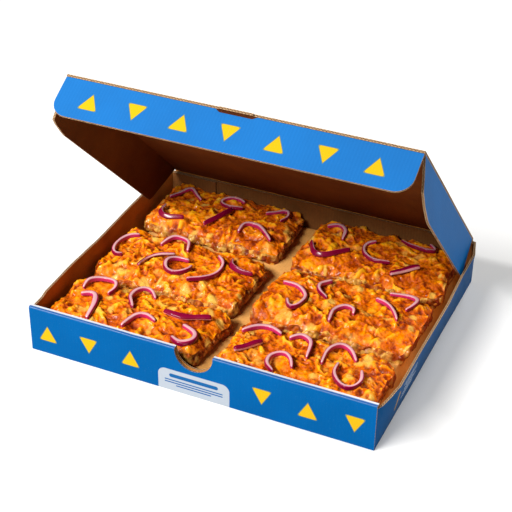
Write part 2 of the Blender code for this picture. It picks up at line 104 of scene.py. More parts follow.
# Red onion strips: (width, height, points of the route), in millimetres
THIN, MID, THICK = 2.6, 3.4, 5.0
LOW, HIGH = 3.0, 3.9
ONIONS = (
    (MID, LOW, ((-149, 102), (-142, 117), (-135, 126), (-128, 119), (-117, 109))),
    (MID, LOW, ((-74, 123), (-84, 126), (-95, 120), (-95, 111), (-84, 108), (-71, 112))),
    (MID, HIGH, ((-145, 85), (-144, 72), (-135, 63), (-116, 68))),
    (MID, HIGH, ((-80, 105), (-84, 88), (-94, 69))),
    (THIN, LOW, ((-45, 112), (-29, 126), (-23, 118), (-27, 107))),
    (MID, HIGH, ((-56, 69), (-55, 84), (-40, 86), (-21, 67))),
    (MID, LOW, ((20, 117), (30, 122), (40, 115), (42, 101))),
    (MID, HIGH, ((16, 83), (26, 66), (38, 66), (56, 84))),
    (MID, LOW, ((74, 109), (66, 100), (71, 84), (84, 78), (98, 81))),
    (THIN, LOW, ((95, 124), (108, 118), (126, 115), (132, 119), (123, 129))),
    (THICK, HIGH, ((105, 62), (127, 83))),
    (MID, HIGH, ((-114, 16), (-109, 31), (-100, 34), (-90, 29), (-84, 14))),
    (MID, HIGH, ((-140, 21), (-151, 14), (-153, -6), (-147, -18), (-139, -16))),
    (MID, HIGH, ((-93, 5), (-108, -5), (-115, -14), (-116, -27))),
    (MID, HIGH, ((-76, 1), (-90, -1), (-94, -12), (-88, -23), (-76, -23), (-69, -14), (-70, -6))),
    (MID, HIGH, ((-53, 19), (-43, 8), (-42, -7), (-50, -22), (-63, -30))),
    (MID, HIGH, ((-39, 20), (-36, 10), (-26, 5), (-12, 6))),
    (MID, HIGH, ((20, 6), (36, 4), (48, -7), (47, -24), (40, -29), (34, -19))),
    (MID, HIGH, ((60, 28), (52, 17), (55, 7), (66, -2))),
    (MID, HIGH, ((81, -34), (79, -16), (87, -6), (96, -8), (97, -14))),
    (THIN, HIGH, ((108, 16), (120, 12), (130, 2), (136, -8))),
    (MID, LOW, ((116, 32), (130, 34), (143, 31), (143, 21), (138, 12))),
    (MID, HIGH, ((-143, -82), (-144, -71), (-135, -62), (-121, -62), (-115, -71), (-118, -80))),
    (MID, HIGH, ((-87, -91), (-97, -76), (-95, -62), (-85, -58), (-75, -69))),
    (THICK, HIGH, ((-140, -91), (-129, -86), (-120, -101), (-116, -122))),
    (MID, HIGH, ((-82, -120), (-79, -102), (-70, -96), (-58, -102))),
    (THICK, HIGH, ((-58, -84), (-40, -86), (-15, -76))),
    (THICK, HIGH, ((-33, -95), (-18, -102), (-15, -114), (-24, -121), (-35, -115))),
    (MID, HIGH, ((18, -81), (27, -69), (38, -65), (51, -71))),
    (MID, HIGH, ((60, -73), (69, -65), (80, -72), (84, -92))),
    (MID, HIGH, ((98, -93), (97, -76), (105, -64), (116, -67), (124, -78))),
    (THICK, HIGH, ((23, -109), (31, -101), (41, -89))),
    (MID, HIGH, ((65, -123), (56, -115), (55, -103), (65, -96), (74, -103), (78, -111))),
    (MID, HIGH, ((112, -89), (113, -103), (123, -116), (133, -117), (139, -106), (134, -91))),
)
# Strips that lie rolled over, with their skin facing up: degrees of roll by number
ROLLED = {3: 35, 4: 40, 8: 30, 11: 75, 14: 50, 17: 25, 27: 60, 32: 80}

# ---------------------------------------------------------------- noise

LATTICE = np.random.default_rng(11).random((32, 32, 32))


def noise(x, y, z=0.0, size=0.01):
    """Smooth noise from 0 to 1: random values at the corners of cubes of this size, blended
    between them by 3t^2 - 2t^3 in each direction."""
    places = np.stack(np.broadcast_arrays(x, y, z), axis=-1) / size
    base = np.floor(places).astype(int)
    part = places - base
    part = part * part * (3 - 2 * part)
    total = 0.0
    for corner in np.ndindex(2, 2, 2):
        weight = np.prod(np.where(np.array(corner) == 1, part, 1 - part), axis=-1)
        index = (base + np.array(corner)) % len(LATTICE)
        total = total + weight * LATTICE[index[..., 0], index[..., 1], index[..., 2]]
    return total


def rough_noise(x, y, z=0.0, size=0.01, layers=3):
    """A sum of noises, each half as large and half as strong as the one before, from 0 to 1."""
    total, weights = 0.0, 0.0
    for layer in range(layers):
        strength = 0.5**layer
        total = total + strength * noise(x + layer * 0.37, y, z, size * strength)
        weights += strength
    return total / weights


def ease(value, start, end):
    """0 before start, 1 after end, and 3t^2 - 2t^3 between."""
    t = np.clip((value - start) / (end - start), 0, 1)
    return t * t * (3 - 2 * t)


# ---------------------------------------------------------------- meshes


def grid_faces(rows, columns, start=0, wrap=False):
    """Four-cornered faces of a grid of points stored row by row. wrap joins its last column to
    its first."""
    index = start + np.arange(rows * columns).reshape(rows, columns)
    if wrap:
        index = np.concatenate((index, index[:, :1]), axis=1)
    corners = (index[:-1, :-1], index[1:, :-1], index[1:, 1:], index[:-1, 1:])
    return np.stack(corners, axis=-1).reshape(-1, 4)


def fan(ring, centre):
    """Triangles between a closed ring of indices and the point in its middle."""
    return np.stack((ring, np.roll(ring, -1), np.full(len(ring), centre)), axis=-1)


def turned_in(points, face, outwards):
    """Whether the turn of a four-cornered face points against this direction."""
    a, b, c = points[face[0]], points[face[1]], points[face[3]]
    return np.dot(np.cross(b - a, c - a), outwards) < 0


def stack(*parts):
    """Arrays of x, y and z, or of u and v, made one array of places."""
    return np.stack(np.broadcast_arrays(*parts), axis=-1)


def border(rows, columns):
    """Indices round a grid's border, in one closed turn, the same way round as its faces."""
    index = np.arange(rows * columns).reshape(rows, columns)
    return np.concatenate((index[:-1, 0], index[-1, :-1], index[:0:-1, -1], index[0, :0:-1]))


def new_piece(name, points, patches, body, replaced=(), values=None, sharp=50.0):
    """Puts arrays of points and faces into a mesh. Each patch is (faces, material, UV of every
    corner or None); values are numbers for every point, by name."""
    mesh = bpy.data.meshes.new(name)
    mesh.vertices.add(len(points))
    mesh.vertices.foreach_set("co", np.asarray(points, np.float32).ravel())
    corners = np.concatenate([faces.ravel() for faces, _, _ in patches]).astype(np.int32)
    counts = np.concatenate([np.full(len(faces), faces.shape[1]) for faces, _, _ in patches])
    starts = np.concatenate(([0], np.cumsum(counts)[:-1])).astype(np.int32)
    mesh.loops.add(len(corners))
    mesh.loops.foreach_set("vertex_index", corners)
    mesh.polygons.add(len(counts))
    mesh.polygons.foreach_set("loop_start", starts)
    materials = list(dict.fromkeys(material for _, material, _ in patches))
    for material in materials:
        mesh.materials.append(material)
    number = [np.full(len(faces), materials.index(material)) for faces, material, _ in patches]
    mesh.polygons.foreach_set("material_index", np.concatenate(number).astype(np.int32))
    flat = [
        np.zeros((faces.size, 2)) if uv is None else np.asarray(uv).reshape(-1, 2)
        for faces, _, uv in patches
    ]
    layer = mesh.uv_layers.new(name="UVMap")
    layer.uv.foreach_set("vector", np.concatenate(flat).astype(np.float32).ravel())
    for key, value in (values or {}).items():
        attribute = mesh.attributes.new(key, "FLOAT", "POINT")
        attribute.data.foreach_set("value", np.asarray(value, np.float32).ravel())
    mesh.update(calc_edges=True)
    mesh.validate()
    mesh.shade_smooth()
    mesh.set_sharp_from_angle(angle=math.radians(sharp))
    piece = bpy.data.objects.new(name, mesh)
    bpy.context.scene.collection.objects.link(piece)
    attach(piece, body)
    if replaced:
        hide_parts(*replaced)
    return piece


def board(name, outer, inner, uv, body, materials, replaced=()):
    """A board between an outer and an inner grid of points, closed by strips round its border.
    uv is a grid of lengths in metres over both faces; a strip's UV is the length along the
    border and the share of the board's thickness. materials are outer, inner and edge."""
    rows, columns = outer.shape[:2]
    count = rows * columns
    outer_face = grid_faces(rows, columns)
    inner_face = outer_face[:, ::-1]
    loop = border(rows, columns)
    after = np.roll(loop, -1)
    strip = np.stack((loop + count, after + count, after, loop), axis=-1)
    outer_points = outer.reshape(-1, 3)
    length = np.linalg.norm(outer_points[after] - outer_points[loop], axis=1)
    ends = np.cumsum(length)
    begins = ends - length
    strip_uv = np.stack((stack(begins, 0), stack(ends, 0), stack(ends, 1), stack(begins, 1)), axis=1)
    i, j = rows // 2, columns // 2
    middle = outer[i, j]
    turn = np.cross(outer[i, j - 1] - middle, outer[i - 1, j] - middle)
    if np.dot(turn, middle - inner[i, j]) >= 0:
        outer_face, inner_face = inner_face, outer_face
        strip, strip_uv = strip[:, ::-1], strip_uv[:, ::-1]
    print_side, kraft_side, edge = materials
    flat_uv = uv.reshape(-1, 2)
    patches = [
        (outer_face, print_side, flat_uv[outer_face]),
        (inner_face + count, kraft_side, flat_uv[inner_face]),
        (strip, edge, strip_uv),
    ]
    points = np.concatenate((outer_points, inner.reshape(-1, 3)))
    return new_piece(name, points, patches, body, replaced, sharp=35.0)


def moved(points, matrix):
    """Points carried by a 4 x 4 matrix."""
    m = np.array(matrix)
    return points @ m[:3, :3].T + m[:3, 3]


# ---------------------------------------------------------------- materials


class Finish:
    """One material. Each method adds a node and gives its output, to be used in the next."""

    def __init__(self, name):
        """A new material of this name, with its shader."""
        self.material = bpy.data.materials.new(name)
        self.material.use_nodes = True
        self.tree = self.material.node_tree
        self.shader = self.tree.nodes["Principled BSDF"]

    def put(self, socket, value):
        """Links a socket to another node's output, or sets it to a number or a colour."""
        if isinstance(value, bpy.types.NodeSocket):
            self.tree.links.new(value, socket)
        elif isinstance(value, tuple) and len(value) == 3 and socket.type == "RGBA":
            socket.default_value = (*value, 1.0)
        else:
            socket.default_value = value

    def add(self, kind, inputs, output=0, **settings):
        """A node of this kind with its inputs and settings; gives one of its outputs."""
        node = self.tree.nodes.new(kind)
        for key, value in settings.items():
            setattr(node, key, value)
        for key, value in inputs.items():
            self.put(node.inputs[key], value)
        return node.outputs[output]

    def math(self, operation, *values, clamp=False):
        """One sum of numbers or outputs."""
        inputs = dict(enumerate(values))
        return self.add("ShaderNodeMath", inputs, operation=operation, use_clamp=clamp)

    def mix(self, share, first, second, kind="MIX"):
        """A colour between two: first where share is 0, second where it is 1."""
        inputs = {0: share, 6: first, 7: second}
        return self.add(
            "ShaderNodeMix", inputs, 2, data_type="RGBA", blend_type=kind, clamp_factor=True
        )

    def steps(self, value, *stops):
        """A ramp of colours or greys: (place, colour) pairs."""
        output = self.add("ShaderNodeValToRGB", {"Fac": value})
        ramp = output.node.color_ramp
        while len(ramp.elements) < len(stops):
            ramp.elements.new(0.5)
        for element, (place, colour) in zip(ramp.elements, stops):
            element.position = place
            colour = (colour,) * 3 if isinstance(colour, (int, float)) else colour
            element.color = (*colour, 1.0)
        return output

    def place(self):
        """The place on the object, in metres."""
        return self.add("ShaderNodeTexCoord", {}, "Object")

    def flat_place(self):
        """The piece's UV as two numbers."""
        uv = self.add("ShaderNodeUVMap", {}, uv_map="UVMap")
        split = self.add("ShaderNodeSeparateXYZ", {"Vector": uv})
        return split, split.node.outputs[1]

    def value(self, name):
        """The number that each point carries under this name."""
        return self.add("ShaderNodeAttribute", {}, "Fac", attribute_name=name)

    def grain(self, place, scale, detail=3.0, roughness=0.55):
        """Noise from 0 to 1, finer with a larger scale."""
        inputs = {"Vector": place, "Scale": scale, "Detail": detail, "Roughness": roughness}
        return self.add("ShaderNodeTexNoise", inputs)

    def bump(self, height, strength, distance, normal=None):
        """A normal tilted by this height, laid over another normal where one is given."""
        inputs = {"Height": height, "Strength": strength, "Distance": distance}
        if normal is not None:
            inputs["Normal"] = normal
        return self.add("ShaderNodeBump", inputs)

    def finish(self, **sockets):
        """Sets the shader's sockets, with _ for each space in a name, and gives the material."""
        for key, value in sockets.items():
            self.put(self.shader.inputs[key.replace("_", " ")], value)
        return self.material

    def ridges(self, along):
        """The flutes' ridges, from -1 to 1: a sine along this length."""
        return self.math("SINE", self.math("MULTIPLY", along, TAU / FLUTE_PITCH))

    def inside(self, distance, softness=0.00025):
        """1 where a distance to an outline is negative, with an edge this soft."""
        return self.math("SUBTRACT", 0.5, self.math("DIVIDE", distance, softness), clamp=True)

    def panel(self, u, v, centre, half, corner):
        """A rounded rectangle's distance: the length of what reaches past its inner corners."""
        reaches = []
        for along, middle, size in ((u, centre[0], half[0]), (v, centre[1], half[1])):
            away = self.math("ABSOLUTE", self.math("SUBTRACT", along, middle))
            reaches.append(self.math("MAXIMUM", self.math("SUBTRACT", away, size - corner), 0.0))
        square = [self.math("MULTIPLY", reach, reach) for reach in reaches]
        length = self.math("SQRT", self.math("ADD", *square))
        return self.math("SUBTRACT", length, corner)


PRINT_BLUE = (0.0, 0.094, 0.295)
FLUTE_BLUE = (0.0, 0.055, 0.19)
SPECK_BLUE = (0.20, 0.40, 0.66)
PRINT_YELLOW = (0.66, 0.38, 0.008)
PRINT_OLIVE = (0.16, 0.20, 0.10)
PANEL_WHITE = (0.39, 0.43, 0.48)
PANEL_INK = (0.01, 0.10, 0.28)
BAR_WHITE = (0.55, 0.62, 0.72)

FLUTE_PITCH = 0.0030
MOTIF_HEIGHT = 0.0155  # of the rounded triangles
MOTIF_ROUND = 0.0035
MOTIF_ROW_HALF = 0.012
MOTIF_RIM, MOTIF_FILL = 0.0004, -0.0002  # how far the rim and the fill reach past the outline

# The pale panel below the notch, and its bars: (height, half length, half thickness)
PANEL_MIDDLE, PANEL_LEVEL = -0.00125, 0.0015
PANEL_HALF, PANEL_CORNER = (0.03425, 0.0210), 0.0072
PANEL_BARS = (
    (0.0163, 0.0235, 0.0019), (0.0113, 0.0280, 0.0006),
    (0.0088, 0.0280, 0.0006), (0.0063, 0.0170, 0.0006),
)
# The upright line and the rows of bars on the right wall
LINE_PLACE, LINE_HALF, LINE_CORNER = (-0.098, 0.0240), (0.0015, 0.0105), 0.0005
BAR_ROWS, BAR_PITCH = 5, 0.0042
BAR_PLACE, BAR_SHIFT = (-0.070, 0.0335), 0.004
BAR_HALF, BAR_SHORTER, BAR_CORNER = (0.018, 0.0008), 0.003, 0.0007


def motif(finish, u, v, pitch, shift):
    """The distance to a row of rounded triangles along u that point up and down in turn. A
    triangle is the largest of its three sides' distances, eased where two meet."""
    run = finish.math("ADD", u, shift + 40 * pitch)  # 40 pitches keep it above 0
    along = finish.math("SUBTRACT", finish.math("FLOORED_MODULO", run, pitch), pitch / 2)
    turn = finish.math("FLOORED_MODULO", run, 2 * pitch)
    first = finish.math("MULTIPLY", finish.math("LESS_THAN", turn, pitch), 2.0)
    up = finish.math("MULTIPLY", v, finish.math("SUBTRACT", first, 1.0))
    inner = MOTIF_HEIGHT / 3
    up = finish.math("ADD", up, inner / 2)
    foot = finish.math("SUBTRACT", finish.math("MULTIPLY", up, -1.0), inner)
    lean = finish.math("MULTIPLY", finish.math("ABSOLUTE", along), math.cos(math.radians(30)))
    slope = finish.math("ADD", lean, finish.math("MULTIPLY", up, 0.5))
    return finish.math("SMOOTH_MAX", foot, finish.math("SUBTRACT", slope, inner), MOTIF_ROUND)


def with_motifs(finish, u, v, colour, motifs):
    """A colour with a row of yellow triangles in olive rims over it."""
    pitch, shift, row, plain = motifs
    low = finish.math("SUBTRACT", v, row)
    edge = motif(finish, u, low, pitch, shift)
    in_row = finish.inside(finish.math("SUBTRACT", finish.math("ABSOLUTE", low), MOTIF_ROW_HALF))
    beside = finish.math("SUBTRACT", plain, finish.math("ABSOLUTE", u))
    allowed = finish.math("MULTIPLY", in_row, finish.inside(beside))
    for reach, paint in ((MOTIF_RIM, PRINT_OLIVE), (MOTIF_FILL, PRINT_YELLOW)):
        shape = finish.inside(finish.math("SUBTRACT", edge, reach))
        colour = finish.mix(finish.math("MULTIPLY", shape, allowed), colour, paint)
    return colour


def with_panel(finish, u, v, colour):
    """A colour with the pale panel and its bars over it."""
    sheet = finish.panel(u, v, (PANEL_MIDDLE, PANEL_LEVEL), PANEL_HALF, PANEL_CORNER)
    colour = finish.mix(finish.inside(sheet), colour, PANEL_WHITE)
    for height, half, thick in PANEL_BARS:
        bar = finish.panel(u, v, (PANEL_MIDDLE, height), (half, thick), thick)
        colour = finish.mix(finish.inside(bar), colour, PANEL_INK)
    return colour


def with_bars(finish, u, v, colour):
    """A colour with a yellow upright line and rows of pale bars of three lengths over it."""
    line = finish.panel(u, v, LINE_PLACE, LINE_HALF, LINE_CORNER)
    colour = finish.mix(finish.inside(line), colour, PRINT_YELLOW)
    for row in range(BAR_ROWS):
        centre = (BAR_PLACE[0] + BAR_SHIFT * (row % 2), BAR_PLACE[1] - BAR_PITCH * row)
        half = (BAR_HALF[0] - BAR_SHORTER * (row % 3), BAR_HALF[1])
        bar = finish.panel(u, v, centre, half, BAR_CORNER)
        colour = finish.mix(finish.inside(bar), colour, BAR_WHITE)
    return colour


def printed(name, motifs=None, label=False, bars=False, flutes="u", painted_light_scale=1.0, pale=0.0):
    """Blue print on corrugated board: the flutes show as faint ridges along u or v. motifs is
    (pitch, shift along u, height of the row, half width that stays plain). The tint makes the blue
    lighter as painted light or darker as painted shade on that face, and pale adds a painted sheen."""
    finish = Finish(name)
    u, v = finish.flat_place()
    place = finish.place()
    wash = finish.grain(place, 14.0, 3.0)
    fine = finish.grain(place, 900.0, 2.0)
    ridge = finish.ridges(u if flutes == "u" else v)
    # The tint scales the blue as painted light or painted shade, and pale adds a painted sheen.
    colour = finish.mix(
        finish.steps(wash, (0.35, 0.0), (0.65, 1.0)),
        tuple(c * 0.93 * painted_light_scale + pale for c in PRINT_BLUE),
        tuple(c * 1.05 * painted_light_scale + pale for c in PRINT_BLUE),
    )
    dim = finish.math("MULTIPLY_ADD", ridge, 0.035, 0.035)
    colour = finish.mix(dim, colour, FLUTE_BLUE)
    if motifs:
        colour = with_motifs(finish, u, v, colour, motifs)
    if label:
        colour = with_panel(finish, u, v, colour)
    if bars:
        colour = with_bars(finish, u, v, colour)
    speck = finish.steps(fine, (0.30, 1.0), (0.36, 0.0))
    colour = finish.mix(finish.math("MULTIPLY", speck, 0.04), colour, SPECK_BLUE)
    soft = finish.math("MULTIPLY_ADD", ridge, 0.5, 0.5)
    normal = finish.bump(soft, 0.25, 0.00012)
    normal = finish.bump(finish.grain(place, 60.0, 4.0), 0.25, 0.0006, normal)
    rough = finish.math("MULTIPLY_ADD", fine, 0.12, 0.42)
    return finish.finish(
        Base_Color=colour, Roughness=rough, Normal=normal, Specular_IOR_Level=0.02
    )


def kraft(name, light, dark, flutes="u", waves=0.10):
    """Brown kraft liner: long soft stains, short fibres and faint lines over the flutes, which
    run along u or v."""
    finish = Finish(name)
    u, v = finish.flat_place()
    place = finish.place()
    ridge = finish.ridges(u if flutes == "u" else v)
    stain = finish.grain(place, 22.0, 4.0)
    fibre_place = finish.add("ShaderNodeMapping", {"Vector": place, "Scale": (260.0, 900.0, 500.0)})
    fibre = finish.grain(fibre_place, 1.0, 3.0)
    darker, lighter = tuple(c * 0.5 for c in dark), tuple(min(1, c * 1.35) for c in light)
    colour = finish.mix(finish.steps(stain, (0.3, 0.0), (0.7, 1.0)), dark, light)
    colour = finish.mix(finish.steps(fibre, (0.25, 0.35), (0.5, 0.0)), colour, darker)
    colour = finish.mix(finish.steps(fibre, (0.62, 0.0), (0.78, 0.4)), colour, lighter)
    colour = finish.mix(finish.math("MULTIPLY_ADD", ridge, waves / 2, waves / 2), colour, dark)
    normal = finish.bump(finish.math("MULTIPLY_ADD", ridge, 0.5, 0.5), 0.3, 0.0002)
    normal = finish.bump(fibre, 0.25, 0.00015, normal)
    return finish.finish(
        Base_Color=colour, Roughness=0.78, Normal=normal, Specular_IOR_Level=0.15
    )


def raw_edge(name):
    """A cut edge of corrugated board: two liners, and between them the paper of one flute,
    a sine wave, over the flutes' hollows, painted near black as shade."""
    finish = Finish(name)
    u, v = finish.flat_place()
    middle = finish.math("MULTIPLY_ADD", finish.ridges(u), 0.30, 0.5)
    away = finish.math("ABSOLUTE", finish.math("SUBTRACT", v, middle))
    paper = finish.inside(finish.math("SUBTRACT", away, 0.13), 0.12)
    side = finish.math("ABSOLUTE", finish.math("SUBTRACT", v, 0.5))
    liner = finish.inside(finish.math("SUBTRACT", 0.34, side), 0.06)
    solid = finish.math("MAXIMUM", paper, liner)
    torn = finish.grain(finish.place(), 700.0, 3.0)
    torn_share = finish.steps(torn, (0.3, 0.0), (0.7, 1.0))
    tan = finish.mix(torn_share, (0.36, 0.20, 0.09), (0.66, 0.44, 0.24))
    # Painted shade: where there is no paper, the hollows are near black.
    colour = finish.mix(solid, (0.10, 0.05, 0.022), tan)
    normal = finish.bump(solid, 0.5, 0.0004)
    normal = finish.bump(torn, 0.5, 0.0004, normal)
    return finish.finish(
        Base_Color=colour, Roughness=0.85, Normal=normal, Specular_IOR_Level=0.15
    )


PLAIN = 0.0  # no part of the row stays plain
front_print = printed("front_print", motifs=(0.042, 0.0, 0.0215, 0.042), label=True)
# The front flap's print: a lighter copy by its tint, painted light, with a painted sheen added by
# pale.
flap_print = printed("flap_print", motifs=(0.043, 0.0215, 0.0205, PLAIN), painted_light_scale=1.34, pale=0.014)
side_print = printed("side_print", motifs=(0.043, 0.0, 0.0215, PLAIN), flutes="v")
# The right wall's print: a darker copy by its tint, painted shade.
right_print = printed("right_print", bars=True, flutes="v", painted_light_scale=0.80)
plain_print = printed("plain_print")
# The side flaps' print: a lighter copy by its tint, painted light.
lid_flap_print = printed("lid_flap_print", flutes="v", painted_light_scale=1.35)
lid_print = printed("lid_print", motifs=(0.043, 0.0215, 0.235, PLAIN))
# The inside of the lid and its flaps: kraft painted dark, painted shade.
kraft_painted_shade = kraft("kraft_painted_shade", (0.150, 0.040, 0.0035), (0.095, 0.022, 0.0015))
kraft_wall = kraft("kraft_wall", (0.64, 0.245, 0.040), (0.49, 0.170, 0.022), flutes="v")
# The back wall's inside and its corner tabs: kraft painted darker, painted shade.
kraft_back_painted_shade = kraft("kraft_back_painted_shade", (0.27, 0.105, 0.026), (0.17, 0.060, 0.013), waves=0.35)
kraft_insert = kraft("kraft_insert", (0.88, 0.45, 0.125), (0.66, 0.30, 0.070))
# The right wall's inside: a lighter copy of the wall kraft, painted light.
kraft_lit = kraft("kraft_lit", (0.84, 0.42, 0.13), (0.64, 0.29, 0.075), flutes="v")
edge_tan = raw_edge("edge_tan")


def ledge_painted_highlight():
    """The rolled top of the front wall: the blue print, painted near white over its back half as a
    highlight along the curved top.
    """
    finish = Finish("ledge_painted_highlight")
    place = finish.place()
    split = finish.add("ShaderNodeSeparateXYZ", {"Vector": place}, 1)
    across = finish.math("DIVIDE", finish.math("ADD", split, BOX_DEPTH / 2), FRONT_WALL)
    ledge_wobble = finish.grain(place, 260.0, 4.0)
    shifted = finish.math("MULTIPLY_ADD", ledge_wobble, 0.10, finish.math("SUBTRACT", across, 0.05))
    # Past the middle of the rolled top the blue turns near white: a painted highlight.
    colour = finish.steps(
        shifted, (0.0, (0.0, 0.094, 0.30)), (0.20, (0.01, 0.10, 0.32)),
        (0.42, (0.06, 0.14, 0.40)), (0.52, (0.66, 0.70, 0.76)), (0.90, (0.80, 0.82, 0.84)),
    )
    normal = finish.bump(ledge_wobble, 0.2, 0.0003)
    return finish.finish(Base_Color=colour, Roughness=0.35, Normal=normal)


ledge = ledge_painted_highlight()

# ---------------------------------------------------------------- tray

HALF_WIDTH, HALF_DEPTH = BOX_WIDTH / 2, BOX_DEPTH / 2
FRONT_Y = -HALF_DEPTH
FRONT_BACK_Y = FRONT_Y + FRONT_WALL
INNER_HALF_WIDTH, INNER_BACK_Y = HALF_WIDTH - BOARD, HALF_DEPTH - BOARD
FLOOR_TOP_Z = BOARD + GAP
FRONT_BOARD = 0.0018  # each board of the doubled front wall
ROLL_RADIUS = 0.0010
ROLL_SIDE = 0.006  # the face below the rolled top that has its own row of points
HIDDEN_V = 0.2  # a place on the print that is beyond its motifs
SIDE_WALL_SET_BACK = 0.0007
BACK_CUT = 0.0003
RAGGED_SIDE, RAGGED_BACK = 0.0005, 0.0004
SIDE_BOW = 0.0006
LEDGE_SLOT = 3


def tray_floor():
    """The tray's bottom: x and y run evenly over it, inside the walls."""
    x, y = np.meshgrid(
        np.linspace(-INNER_HALF_WIDTH, INNER_HALF_WIDTH, 40),
        np.linspace(FRONT_BACK_Y, INNER_BACK_Y, 30), indexing="ij",
    )
    return board(
        "tray_floor", stack(x, y, 0.0), stack(x, y, BOARD), stack(x, y), "tray",
        (plain_print, kraft_wall, edge_tan), ("tray",),
    )


def rolled_profile():
    """The front wall's section as (y, z), outer side then inner side: up the front, over a
    rounded top and down behind, and the same line one board further in."""
    top = BOX_HEIGHT
    turn = np.linspace(0, math.pi / 2, 7)
    roll = [(ROLL_RADIUS * (1 - math.cos(a)), top - ROLL_RADIUS * (1 - math.sin(a))) for a in turn]
    outer = [(FRONT_Y, 0.0), (FRONT_Y, 0.02), (FRONT_Y, top - ROLL_RADIUS - ROLL_SIDE)]
    outer += [(FRONT_Y + inward, z) for inward, z in roll]
    outer += [(FRONT_Y + FRONT_WALL / 2, top)]
    outer += [(FRONT_BACK_Y - inward, z) for inward, z in roll[::-1]]
    outer += [(FRONT_BACK_Y, 0.02), (FRONT_BACK_Y, FLOOR_TOP_Z)]
    outer = np.array(outer)
    inner = outer.copy()
    inner[:, 0] = np.clip(outer[:, 0], FRONT_Y + FRONT_BOARD, FRONT_BACK_Y - FRONT_BOARD)
    inner[:, 1] = np.minimum(outer[:, 1], top - FRONT_BOARD)
    return outer, inner


def front_wall_side(name, x_start, x_end):
    """The front wall from an end to the notch: its rolled section carried along x, and the
    top a little uneven."""
    x = np.linspace(x_start, x_end, 60)[:, None]
    outer, inner = rolled_profile()
    wave = 0.00025 * (noise(x, 3.3, size=0.02) - 0.5)
    grid_outer = stack(x, outer[None, :, 0], outer[None, :, 1])
    grid_outer[..., 2] += wave * (outer[None, :, 1] > BOX_HEIGHT - 0.0005)
    grid_inner = stack(x, inner[None, :, 0], inner[None, :, 1])
    along = np.where(outer[:, 0] < FRONT_Y + 0.001, outer[:, 1], HIDDEN_V)
    uv = stack(x, along[None, :])
    piece = board(name, grid_outer, grid_inner, uv, "tray", (front_print, kraft_wall, edge_tan))
    # The faces of the rolled top take the ledge material, with its painted highlight.
    mesh = piece.data
    mesh.materials.append(ledge)
    centres = np.zeros(len(mesh.polygons) * 3)
    mesh.polygons.foreach_get("center", centres)
    slots = np.zeros(len(mesh.polygons), np.int32)
    mesh.polygons.foreach_get("material_index", slots)
    top = (centres.reshape(-1, 3)[:, 2] > BOX_HEIGHT - 0.0016) & (slots == 0)
    slots[top] = LEDGE_SLOT
    mesh.polygons.foreach_set("material_index", slots)
    return piece


def notch_board(name, y_front, y_back, materials):
    """One board of the front wall below the notch: its top edge is an arc, the notch's centre
    height less the radius times the cosine."""
    turn = np.linspace(-math.pi / 2, math.pi / 2, 49)[:, None]
    x = NOTCH_X + NOTCH_RADIUS * np.sin(turn)
    top = NOTCH_CENTRE_Z - NOTCH_RADIUS * np.cos(turn)
    share = np.linspace(0, 1, 10)[None, :]
    foot_z = FLOOR_TOP_Z if y_front > FRONT_Y else 0.0
    z = top * share + foot_z * (1 - share)
    return board(name, stack(x, y_front, z), stack(x, y_back, z), stack(x, z), "tray", materials)


def side_wall(name, sign, lean_profile, materials):
    """A side wall whose top leans out: x is the half width plus lean(y) z / H, and its cut top
    is a little uneven. It starts just behind the front wall's face."""
    y = np.linspace(-HALF_DEPTH + SIDE_WALL_SET_BACK, HALF_DEPTH, 150)
    share = (y + HALF_DEPTH) / BOX_DEPTH
    lean = np.interp(share, *np.transpose(lean_profile))
    drop = SIDE_TOP_DROP + (FRONT_END_DROP - SIDE_TOP_DROP) * (1 - ease(share, 0.07, 0.11))
    ragged = RAGGED_SIDE * (rough_noise(y, 1.7 * sign, size=0.006) - 0.5)
    z = np.linspace(0, 1, 14)[None, :] * (BOX_HEIGHT - drop + ragged)[:, None]
    y, middling = y[:, None], np.sin(math.pi * share)[:, None]
    bow = SIDE_BOW * (noise(y, 5.0 + sign, z, size=0.05) - 0.5) * middling
    x = sign * (HALF_WIDTH + lean[:, None] * z / BOX_HEIGHT + bow)
    outer, inner = stack(x, y, z), stack(x - sign * BOARD, y, z)
    return board(name, outer, inner, stack(y, z), "tray", (*materials, edge_tan))


def wall_across(name, x_range, y_outer, y_inner, top, materials):
    """A wall across the back: x and z run evenly, with an uneven cut top."""
    x = np.linspace(*x_range, 80)
    ragged = RAGGED_BACK * (rough_noise(x, y_outer * 9, size=0.006) - 0.5)
    z = np.linspace(0, 1, 10)[None, :] * (top + ragged - BACK_CUT)[:, None]
    x = x[:, None]
    return board(name, stack(x, y_outer, z), stack(x, y_inner, z), stack(x, z), "tray", materials)


tray_floor()
front_wall_side("front_wall_left", -HALF_WIDTH, NOTCH_X - NOTCH_RADIUS)
front_wall_side("front_wall_right", NOTCH_X + NOTCH_RADIUS, HALF_WIDTH)
notch_board(
    "notch_outer_board", FRONT_Y, FRONT_Y + FRONT_BOARD, (front_print, kraft_wall, edge_tan)
)
notch_board(
    "notch_inner_board", FRONT_BACK_Y - FRONT_BOARD, FRONT_BACK_Y, (kraft_wall, plain_print, edge_tan)
)
side_wall("left_wall", -1, LEFT_LEAN, (side_print, kraft_wall))
side_wall("right_wall", 1, RIGHT_LEAN, (right_print, kraft_lit))
wall_across(
    "back_wall", (-INNER_HALF_WIDTH, INNER_HALF_WIDTH), HALF_DEPTH, INNER_BACK_Y, BOX_HEIGHT,
    (side_print, kraft_back_painted_shade, edge_tan),
)
for side, x_range in (
    ("left", (-INNER_HALF_WIDTH, -INNER_HALF_WIDTH + CORNER_TAB_LEFT)),
    ("right", (INNER_HALF_WIDTH - CORNER_TAB_RIGHT, INNER_HALF_WIDTH)),
):
    wall_across(
        f"corner_tab_{side}", x_range, INNER_BACK_Y, INNER_BACK_Y - BOARD, BOX_HEIGHT - 0.0004,
        (kraft_back_painted_shade, kraft_back_painted_shade, edge_tan),
    )

INSERT_SHEET = 0.0012
INSERT_WAVE = 0.0018
INSERT_NARROWING = 0.992  # of its inner face


